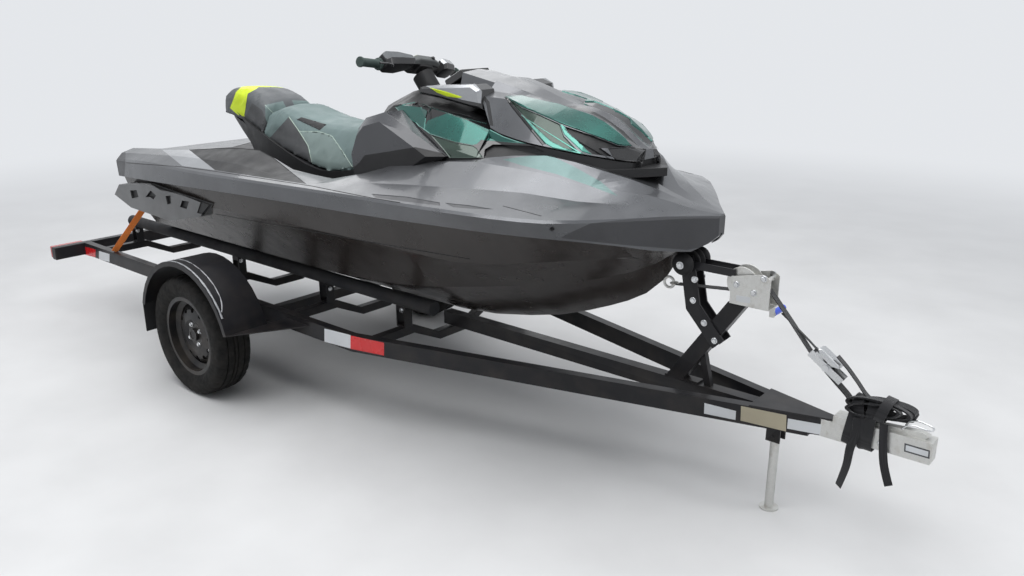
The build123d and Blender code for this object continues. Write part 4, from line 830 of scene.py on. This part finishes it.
def seam(name, target, pixels, radius, key):
    """Thin round line laid on a piece along pixels of the photograph, and its mirror image."""
    spots = []
    for (x0, y0), (x1, y1) in zip(pixels, pixels[1:]):
        n = max(1, int(((x1 - x0) ** 2 + (y1 - y0) ** 2) ** 0.5 / STRIDE))
        spots += [(x0 + (x1 - x0) * k / n, y0 + (y1 - y0) * k / n) for k in range(n)]
    hits = [h for h in (cast(target, spot) for spot in spots + [pixels[-1]]) if h]
    tube(name, [spot - normal.normalized() * radius * SINK for spot, normal in hits], radius, key, both=True)


# Washer and hexagon of a bolt head: height, radius and corners of each ring, in radii of the bolt
WASHER = ((-0.5, 1.45, 24), (0.22, 1.45, 24), (0.3, 1.35, 24))
HEXAGON = ((0.2, 1.0, 6), (0.95, 1.0, 6), (1.05, 0.88, 6))


def bolts(name, spots, radius, key="steel", body=ROOT):
    """Hexagon heads on washers, one object, at points with their normals."""
    verts, faces = [], []
    for point, normal in spots:
        place = frame_at(point, normal, Vector((0.3, 0.1, 1)))
        for group in (WASHER, HEXAGON):
            start = len(verts)
            for h, wide, n in group:
                verts += circle(place, radius * wide, radius * h, n)
            faces += band(start, start + n, n) + band(start + n, start + 2 * n, n)
            faces += caps(start, len(verts), n)
    piece(name, verts, faces, key, body)


def pixel_bolts(name, target, pixels, radius):
    """Bolts on a piece at pixels of the photograph, and their mirror images."""
    spots = [h for h in (cast(target, p) for p in pixels) if h]
    spots += [(Vector((p.x, -p.y, p.z)), Vector((n.x, -n.y, n.z))) for p, n in spots]
    bolts(name, spots, radius)


def facets(name, place, sections, paints, body=ROOT, bevel=0.002):
    """Moulded body through polygons along the place's Y, each of its sides with its own paint."""
    n = len(sections[0][1])
    verts = [place @ Vector((x, y, z)) for y, loop in sections for x, z in loop]
    keys = sorted(set(paints))
    faces, marks = [], []
    for i in range(len(sections) - 1):
        faces += band(i * n, (i + 1) * n, n)
        marks += [keys.index(paint) for paint in paints]
    faces += caps(0, len(verts), n)
    marks += [keys.index(paints[-1])] * 2
    mesh = bpy.data.meshes.new(name)
    mesh.from_pydata([tuple(v) for v in verts], [], faces)
    cover(mesh, keys[:-1])
    for f, mark in zip(mesh.polygons, marks):
        f.material_index = mark
    o = link(name, mesh)
    bevelled(o, bevel, 3).angle_limit = radians(18)
    finish_piece(o, keys[-1], body, smooth=18.0)


def middle_of(corners):
    return tuple(sum(c[i] for c in corners) / len(corners) for i in (0, 1))


def plate(name, face, corners, thick, key, lift=0.0, both=False):
    """Flat plate between pixels, in the plane of a face given by a point and its normal, thick behind it."""
    middle, normal = face
    ways = [ray(*c) for c in corners]
    flat = [EYE + way * ((middle - EYE).dot(normal) / way.dot(normal)) for way in ways]
    n = len(flat)
    verts, faces = [], []
    for side in ((1, -1) if both else (1,)):
        start = len(verts)
        for depth in (lift, lift - thick):
            verts += [Vector((v.x, v.y * side, v.z)) for v in (w + normal * depth for w in flat)]
        faces += [tuple(range(start, start + n)), tuple(range(start + n, start + 2 * n))[::-1]]
        faces += [(start + k, start + n + k, start + n + (k + 1) % n, start + (k + 1) % n) for k in range(n)]
    piece(name, verts, faces, key, bevel=min(0.001, thick * 0.3))


def hoop(name, centre, u, v, across, width, thick, power=2.0, steps=36):
    """Closed loop of black webbing, oval along u and v."""
    across = Vector(across).normalized() * width / 2
    loops = []
    for k in range(steps):
        a = 2 * pi * k / steps
        c, d = (copysign(abs(w) ** (2 / power), w) for w in (cos(a), sin(a)))
        out = Vector(u) * c + Vector(v) * d
        rim = centre + out
        back = out.normalized() * thick
        loops.append([rim + across, rim - across, rim - across - back, rim + across - back])
    rings(name, loops, "strap", closed=True)


# Piping of the seats, and seams of deck and hull: piece, pixels, radius and material
PIPING = {
    "seat_piping": ("seat_front", ((289, 117), (299.3, 131.5), (308.2, 146), (314, 172)), 0.0022, "piping"),
    "seat_panel_piping": ("seat_front", ((299.3, 131.5), (318.5, 131.5), (332, 136), (341, 149),
                                         (352.5, 167)), 0.0018, "piping"),
    "rear_seat_piping": ("seat_rear", ((265, 105), (272, 112), (286, 122)), 0.002, "piping"),
    "rear_seat_edge": ("seat_rear", ((258, 88), (247.8, 94), (244.5, 116)), 0.0018, "seat_side"),
}
SEAMS = {
    "deck_seam": ("deck", ((126, 162.8), (182, 166.8), (214.8, 171.2), (310.5, 185.8), (372, 198),
                           (400, 202.6)), 0.002, "black"),
    "bow_seam": ("deck", ((503, 206), (541.5, 216)), 0.0016, "black"),
    "hull_line": ("hull", ((216, 214), (260, 222.3), (310, 231), (400, 247.2), (470, 259)), 0.0022, "black"),
}
for name, row in PIPING.items():
    seam(name, *row)


# Handlebar, its Y along the bar and its X forward and up

BAR_RAKE, STEERED = radians(-40), radians(11)
BARS = (Matrix.Translation(at(0.76, 0, 1.486)) @ Matrix.Rotation(BAR_RAKE, 4, "Y")
        @ Matrix.Rotation(STEERED, 4, "Z"))
LEAN = BARS @ TO_PORT
# Sections of pods and pad in millimetres: their place along the bar, then the corners' X and Z
RIGHT_POD = (
    (-264, ((-16, -22), (30, -26), (40, -4), (36, 26), (-8, 26), (-18, 4))),
    (-248, ((-22, -26), (42, -32), (54, -6), (47, 34), (-12, 32), (-24, 4))),
    (-185, ((-18, -28), (56, -36), (70, -12), (60, 27), (-6, 28), (-22, 2))),
    (-116, ((2, -22), (60, -34), (78, -16), (72, 8), (18, 16), (4, 0))),
    (-106, ((12, -18), (54, -28), (70, -16), (64, 2), (24, 10), (14, -2))),
)
LEFT_POD = (
    (118, ((-10, -20), (44, -26), (56, -6), (48, 22), (-6, 24), (-16, 2))),
    (134, ((-16, -24), (54, -30), (68, -6), (58, 28), (-8, 30), (-20, 2))),
    (190, ((-18, -24), (50, -30), (62, -8), (54, 26), (-10, 28), (-20, 2))),
    (214, ((-12, -18), (36, -22), (46, -6), (40, 18), (-6, 20), (-14, 2))),
)
PAD = (
    (-74, ((-28, 0), (34, -10), (46, 4), (40, 22), (-10, 30), (-28, 18))),
    (-50, ((-34, -4), (42, -14), (62, 0), (56, 30), (-14, 38), (-34, 22))),
    (45, ((-34, -4), (46, -18), (68, -6), (60, 26), (-14, 36), (-34, 20))),
    (82, ((-26, -4), (44, -22), (62, -14), (56, 8), (-8, 24), (-26, 12))),
)


def on_bars(name, sections, paints, bevel=0.002):
    metres = [(y / 1000, [(x / 1000, z / 1000) for x, z in loop]) for y, loop in sections]
    facets(name, BARS, metres, paints, "bars", bevel)


def clamp_section(y):
    front = 50 - abs(y) * 0.2
    return y, ((-4, -24), (front, -22), (front + 8, 4), (50, 18), (-6, 20), (-12, 0))


bar_tube = lathe("bar_tube", LEAN, ((-0.3, 0.0108), (0.3, 0.0108)), "black", "bars")
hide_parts("handlebar")
lathe("bar_stem", BARS, ((-0.098, 0.0155), (-0.004, 0.0155)), "black", "bars")
on_bars("bar_clamp", [clamp_section(y) for y in (-46, -30, 30, 46)], ("black",) * 6)
on_bars("right_control", RIGHT_POD, ("black", "gloss", "seat_grey", "gloss", "black", "black"), 0.004)
on_bars("left_control", LEFT_POD, ("black", "gloss", "silver", "silver", "black", "black"), 0.004)
on_bars("bar_pad", PAD, ("black", "pad", "pad", "pad_edge", "pad", "black"), 0.006)
# A grip's profile with its flanges and sixteen ribs: place along the bar and radius
GRIP = [(0.266, 0.015), (0.266, 0.0245), (0.272, 0.026), (0.277, 0.0245), (0.279, 0.0178)]
for k in range(16):
    GRIP += [(0.283 + k * 0.006, 0.0178), (0.2845 + k * 0.006, 0.017), (0.2875 + k * 0.006, 0.0178)]
GRIP += [(0.379, 0.019), (0.381, 0.0215), (0.386, 0.0215), (0.3885, 0.0195), (0.389, 0.006)]
grip = lathe("grip_left", LEAN, GRIP, "grip", "bars", 32)
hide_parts("grips")
lathe("grip_right", LEAN, [(-h, r) for h, r in GRIP], "grip", "bars", 32)
LEVER = ((0.028, 0.236, -0.026), (0.046, 0.246, -0.04), (0.054, 0.27, -0.043), (0.052, 0.305, -0.04),
         (0.044, 0.33, -0.034))
for side, name in ((-1, "throttle_lever"), (1, "brake_lever")):
    tube(name, [BARS @ Vector((x, y * side, z)) for x, y, z in LEVER], 0.0045, "gloss", "bars")
button = BARS @ Vector((0.0655, 0.04, 0.01)), BARS.to_3x3() @ Vector((0.97, 0, 0.22))
bolts("pad_button", [button], 0.007, "gloss", "bars")

for name, row in SEAMS.items():
    seam(name, *row)
bolts("deck_plug", [cast("deck", (552, 229))], 0.006, "black")

# Trailer labels, all blank. The foremost one and the nose's cheeks lie in the plane of the rail's face.
RAIL_FACE = cast("rails", (763, 418))
CHEEKS = (806, 416.5), (834.5, 421.5), (834.5, 437.5), (806, 433.5)
plate("nose_cheeks", RAIL_FACE, CHEEKS, 0.004, "frame", both=True)
LABELS = {
    "label_white": (((324.5, 328.5), (350.5, 335), (350.5, 348.5), (324.5, 341.8)), "white"),
    "label_red": (((350.5, 335.5), (384, 342.8), (384, 355.5), (350.5, 348.8)), "red"),
    "label_nose_rear": (((704.5, 403), (736, 411), (735.5, 420), (704, 413.5)), "white"),
    "label_nose_middle": (((741, 406), (786.5, 415.2), (786, 431.5), (740.5, 420.5)), "beige"),
    "label_nose_front": (((788, 418.5), (822, 424.5), (821.5, 435), (787, 428.5)), "white"),
    "reflector_red": (((84.5, 246.5), (95.5, 249.5), (95.5, 257.5), (84.5, 254.5)), "red"),
    "reflector_white": (((99, 251), (109.5, 254), (109.5, 262), (99, 259)), "white"),
}
for label, (corners, key) in LABELS.items():
    face = RAIL_FACE if label == "label_nose_front" else cast("rails", middle_of(corners))
    plate(label, face, corners, 0.0012, key, 0.0006)
pixel_bolts("post_bolts", "winch_post", ((694.4, 279.5), (693, 300.3), (704, 323), (714.3, 340.8)), 0.0085)
BUNK_BOLTS = (137.8, 230.8), (240.9, 260.8), (330, 288.7), (401.6, 310.4)
pixel_bolts("bunk_bolts", "bunk_brackets", BUNK_BOLTS, 0.0075)

# Winch, its label, nuts and crank handle
LABEL_WINCH = (736.5, 295), (750.5, 297.5), (750, 303.5), (736, 301)
plate("label_winch", cast("winch_frame", middle_of(LABEL_WINCH)), LABEL_WINCH, 0.001, "white", 0.0006)
pixel_bolts("winch_nuts", "winch_frame", ((736.5, 284.5), (753.7, 293.1), (764, 279)), 0.008)
# The crank's handle begins at this Y
HANDLE_FROM = 0.0605
crank = LOOKS["winch_crank"].data
crank.materials.append(M["blue"])
for f in crank.polygons:
    if f.center.y > HANDLE_FROM:
        f.material_index = len(crank.materials) - 1

# Balls of the bow roller, outside the post
ROLLER_X, ROLLER_Z = 2.141, 0.866
ROLLER = Matrix.Translation(at(ROLLER_X, 0, ROLLER_Z)) @ TO_PORT
BALL = ((0.043, 0.009), (0.043, 0.02), (0.0445, 0.029), (0.05, 0.037), (0.059, 0.041), (0.068, 0.04),
        (0.076, 0.035), (0.082, 0.026), (0.084, 0.016), (0.084, 0.009))
SIDES = ((1, "left"), (-1, "right"))
for side, name in SIDES:
    ball = [(h * side, r) for h, r in BALL]
    lathe("roller_ball_" + name, ROLLER, ball, "roller", "roller", closed=True)
bolts("roller_nuts", [(at(ROLLER_X, s * 0.083, ROLLER_Z), Vector((0, s, 0))) for s, _ in SIDES], 0.01)
for side, name in SIDES:
    axle = (0.02 * side, 0.0075), (0.084 * side, 0.0075)
    lathe("roller_axle_" + name, ROLLER, axle, "steel")

# Tie-down strap from the winch to the coupler
DRAWN_STRAPS = {
    "tie_strap": (((770.5, 290), (780, 304), (792, 322), (803, 339), (813, 354.4)), 0, 0.03, 0.0024),
    "tie_strap_return": (((782, 313), (800, 331), (817, 349), (828, 364)), 0.004, 0.012, 0.002),
    "tie_strap_low": (((820, 362), (836, 381), (848, 395), (853, 404), (853, 412)), 0, 0.036, 0.004),
    "tie_strap_high": (((838, 356), (848, 368), (858, 382), (866, 394), (874, 402)), 0, 0.024, 0.003),
}
for name, (pixels, y, width, thick) in DRAWN_STRAPS.items():
    webbing_drawn(name, pixels, y, (0, 1, 0), width, thick)
buckle_a, buckle_b = on_plane(812, 351, 0), on_plane(843, 381, 0)
RATCHET = frame_at(buckle_a, Vector((0, 1, 0)), buckle_b - buckle_a)
length = (buckle_b - buckle_a).length
for k, name in ((-1, "ratchet_plate_right"), (1, "ratchet_plate_left")):
    side = ((0.0, 0.019 * k), (length, 0.019 * k), (length, 0.021 * k), (0.0, 0.021 * k))
    facets(name, RATCHET, [(y, side) for y in (-0.014, 0.012)], ("steel",) * 4, ROOT, 0.0008)
SPOOL = RATCHET @ Matrix.Translation((0.07, 0.0, 0))
lathe("ratchet_spool", SPOOL, ((-0.026, 0.012), (0.026, 0.012)), "steel")
# Sections of the ratchet's handle: place, rear, front and half width
HANDLE = ((-0.04, 0.018, 0.095, 0.02), (-0.032, 0.01, 0.105, 0.022), (-0.018, 0.03, 0.08, 0.022))
facets("ratchet_handle", RATCHET, [(y, ((a, -w), (b, -w), (b, w), (a, w))) for y, a, b, w in HANDLE],
       ("steel",) * 4, ROOT, 0.003)
BUNDLE = at(2.85, 0, 0.492)
# Loops of the bundle: Y, Z, tilt, half width and half height
BUNDLE_LOOPS = ((-0.03, 0.004, 0.1, 0.082, 0.026), (-0.012, 0.01, -0.06, 0.1, 0.03),
                (0.01, 0.006, 0.04, 0.094, 0.028), (0.03, -0.002, -0.12, 0.08, 0.024))
for k, (dy, dz, tilt, wide, high) in enumerate(BUNDLE_LOOPS):
    hoop("bundle_loop_%d" % k, BUNDLE + Vector((0.012 * k - 0.01, dy, dz)), (wide, 0.012, wide * tilt),
         (0, 0, high), (0.1, 1, 0.25 * (k - 1.5)), 0.03, 0.009)
for k, (x, lean) in enumerate(((2.778, 0.15), (2.806, -0.2), (2.836, 0.05))):
    hoop("coupler_wrap_%d" % k, at(x, 0, 0.436), (0, 0.039 + 0.002 * k, 0), (lean * 0.09, 0, 0.09),
         (1, 0, -lean), 0.034, 0.003, power=3.4)
hoop("bundle_knot", BUNDLE + Vector((0.02, 0, 0.006)), (0, 0.052, 0), (0.012, 0, 0.04), (1, 0, -0.2), 0.032,
     0.004, power=2.6)
webbing_drawn("strap_tail_rear", ((858, 418), (856, 432), (850, 448), (846, 466), (838, 486)), -0.044,
              lambda t: (0.8, 0.5 - t, 0), 0.028, 0.002)
webbing_drawn("strap_tail_front", ((884, 424), (883, 445), (883.5, 462), (886, 476), (888.5, 486)), -0.044,
              lambda t: (0.85, 0.35 * t, 0), 0.026, 0.002)

# Coupler: wire grip, pin and blank label
WIRE = ((2.93, -0.02, 0.455), (2.945, -0.021, 0.484), (3.012, -0.021, 0.474), (3.02, 0, 0.473),
        (3.012, 0.021, 0.474), (2.945, 0.021, 0.484), (2.93, 0.02, 0.455))
tube("coupler_grip", [at(*p) for p in WIRE], 0.003, "steel")
pixel_bolts("coupler_pin", "coupler", ((882.5, 444),), 0.011)
for name, corners, key, lift in (
        ("coupler_label_edge", ((904.5, 443), (930, 450.5), (929.5, 459), (904, 451.5)), "pod", 0.0004),
        ("coupler_label", ((906, 445), (928.5, 451.6), (928, 457), (905.5, 450.4)), "white", 0.0008)):
    plate(name, cast("coupler", middle_of(corners)), corners, 0.001, key, lift)

# Orange strap over the rail
strap_top, strap_low = at(-1.047, -0.33, 0.773), at(-1.262, -0.5155, 0.4155)
strap_line = strap_top, strap_top.lerp(strap_low, 0.5), strap_low
orange = ribbon("stern_webbing", strap_line, (0.44, 0.9, 0), 0.034, 0.002, "orange")
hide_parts("stern_strap")

# Wheels: tyres with their tread and the wheel bolts
TREAD = ((-0.07, 0.189), (-0.0795, 0.2), (-0.085, 0.216), (-0.087, 0.23), (-0.0874, 0.242),
         (-0.0866, 0.255), (-0.083, 0.268), (-0.078, 0.276), (-0.07, 0.281), (-0.058, 0.2838),
         (-0.047, 0.2848), (-0.0455, 0.278), (-0.0395, 0.278), (-0.038, 0.2854), (-0.014, 0.286),
         (-0.0125, 0.279), (-0.0065, 0.279), (-0.005, 0.286))
TREAD += tuple((-h, r) for h, r in reversed(TREAD))
# How deep the gaps between the blocks are, by row of the tread
BLOCKS = {7: 0.004, 8: 0.006, 9: 0.006, 13: 0.003, 14: 0.004}
TYRE_STEPS = 144
AXLE_HEIGHT, TRACK_HALF = 0.286, 0.735
# Radius of the wheel bolts' circle, angle of the first, and the Y outside the wheel that they are sought from
BOLT_CIRCLE, FIRST_BOLT, OUTSIDE = 0.05, 28, 0.95


def tyre_ring(hub, row):
    """One ring of the tyre, with a gap at every fourth of its steps, set over on the inner half."""
    h, wide = TREAD[row]
    cut = BLOCKS.get(min(row, len(TREAD) - 1 - row), 0.0)
    start = 2 if row >= len(TREAD) / 2 else 0
    out = []
    for k in range(TYRE_STEPS):
        a = 2 * pi * k / TYRE_STEPS
        r = wide - (cut if (k + start) % 4 == 0 else 0.0)
        out.append(hub @ Vector((r * cos(a), r * sin(a), h)))
    return out


for side, name in SIDES:
    body = name + "_wheel"
    hub = Matrix.Translation(at(0, TRACK_HALF * side, AXLE_HEIGHT)) @ TO_PORT
    loops = [tyre_ring(hub, row) for row in range(len(TREAD))]
    tyre = rings("tyre_%s_look" % name, loops, "tyre", body, closed=True)
    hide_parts("tyre_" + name)
    spots = []
    for k in range(4):
        a = radians(FIRST_BOLT + 90 * k)
        start = at(BOLT_CIRCLE * cos(a), OUTSIDE * side, AXLE_HEIGHT + BOLT_CIRCLE * sin(a))
        hit = probe("rim_" + name, start, Vector((0, -side, 0)))
        if hit:
            spots.append(hit)
    bolts("wheel_bolts_" + name, spots, 0.0085, body=body)

# Bright lines on the fenders, where paint is rubbed pale and a painted highlight runs along the raised
# centre's edges: radius, how far they are sunk, and the angle and Y of each point
FENDER_LINES = (
    (0.006, 0.0035, [(a, 0.836) for a in range(26, 140, 6)]),
    (0.004, 0.0022, [(30, 0.828), (33, 0.815), (38, 0.804), (44, 0.8)]
     + [(a, 0.797) for a in range(50, 120, 7)]),
)
for k, (wide, sink, spots) in enumerate(FENDER_LINES):
    line = []
    for a, y in spots:
        out = Vector((cos(radians(a)), 0, sin(radians(a))))
        hit = probe("fenders", at(0, -y, AXLE_HEIGHT) + out * 0.45, -out)
        if hit:
            line.append(hit[0] - out * sink)
    tube("fender_line_%d" % k, line, wide, "fender_wear_and_highlight", both=True)


# Camera, floor and light

SENSOR = 36.0
BACKDROP = (0.78, 0.8, 0.83)
SKY_LOW, SKY_HIGH = (0.2, 0.19, 0.18), (0.86, 0.9, 0.96)
SKY_STRENGTH = 0.55
# The floor turns into the backdrop between these distances
FADE_FROM, FADE_TO = 2.6, 9.0
FLOOR_HALF = 30.0
AIM = Vector((0, 0, 0.7))
# Place, size and power of each lamp
LAMPS = {
    "key": ((0.3, -1.2, 5.6), 6.0, 360.0),
    "fill": ((-4.0, 3.0, 4.5), 5.0, 90.0),
    "front": ((5.0, 1.5, 3.5), 3.0, 45.0),
}


def camera():
    data = bpy.data.cameras.new("camera")
    data.sensor_width = SENSOR
    data.lens = FOCAL / FRAME_W * SENSOR
    o = link("camera", data)
    o.matrix_world = Matrix.Translation(EYE) @ Matrix((RIGHT, UP, -LOOK)).transposed().to_4x4()
    bpy.context.scene.camera = o


def backdrop_rays(t):
    """1 for the rays that show the pale backdrop: the camera's, and those of gloss and glass."""
    path = new(t, "LightPath")
    out = path.outputs["Is Camera Ray"]
    for more in ("Is Glossy Ray", "Is Transmission Ray"):
        out = maths(t, "MAXIMUM", out, path.outputs[more])
    return out


def choose(t, fac, a, b, target):
    """Blends two shaders into the tree's output."""
    blend = new(t, "MixShader", Fac=fac)
    feed(t, blend.inputs[1], a)
    feed(t, blend.inputs[2], b)
    put(t, t.nodes[target], Surface=blend.outputs["Shader"])


def floor():
    mesh = bpy.data.meshes.new("floor")
    corners = [(x * FLOOR_HALF, y * FLOOR_HALF, 0) for x, y in ((-1, -1), (1, -1), (1, 1), (-1, 1))]
    mesh.from_pydata(corners, [], [(0, 1, 2, 3)])
    o = link("floor", mesh)
    m, t, shader = new_material("pale_floor")
    shade = ramp(t, noise(t, 2.0, 4.0), (0.3, 0.6), (0.7, 0.66))
    put(t, shader, Roughness=0.9, Specular_IOR_Level=0.2, Base_Color=shade)
    far = new(t, "VectorMath")
    far.operation = "LENGTH"
    feed(t, far.inputs[0], own_place(t))
    fade = new(t, "MapRange")
    fade.interpolation_type = "SMOOTHSTEP"
    put(t, fade, From_Min=FADE_FROM, From_Max=FADE_TO, Value=far.outputs["Value"])
    glow = new(t, "Emission", Color=BACKDROP)
    shown = maths(t, "MULTIPLY", fade.outputs["Result"], backdrop_rays(t))
    choose(t, shown, shader.outputs["BSDF"], glow.outputs["Emission"], "Material Output")
    mesh.materials.append(m)


def sky():
    """Light from above, and the pale backdrop behind."""
    world = bpy.data.worlds.new("world")
    bpy.context.scene.world = world
    world.use_nodes = True
    t = world.node_tree
    height = new(t, "SeparateXYZ", Vector=new(t, "TexCoord").outputs["Generated"]).outputs["Z"]
    colour = ramp(t, height, (0.0, SKY_LOW), (0.5, SKY_HIGH))
    light = put(t, t.nodes["Background"], Color=colour, Strength=SKY_STRENGTH)
    pale = new(t, "Background", Color=BACKDROP)
    choose(t, backdrop_rays(t), light.outputs["Background"], pale.outputs["Background"], "World Output")


def lamps():
    for name, (spot, size, power) in LAMPS.items():
        light = bpy.data.lights.new(name, "AREA")
        light.shape = "SQUARE"
        light.size = size
        light.energy = power
        o = link(name, light)
        o.location = spot
        o.rotation_mode = "QUATERNION"
        o.rotation_quaternion = (Vector(spot) - AIM).to_track_quat("Z", "Y")


camera()
floor()
sky()
lamps()
bpy.context.scene.view_settings.view_transform = "Standard"
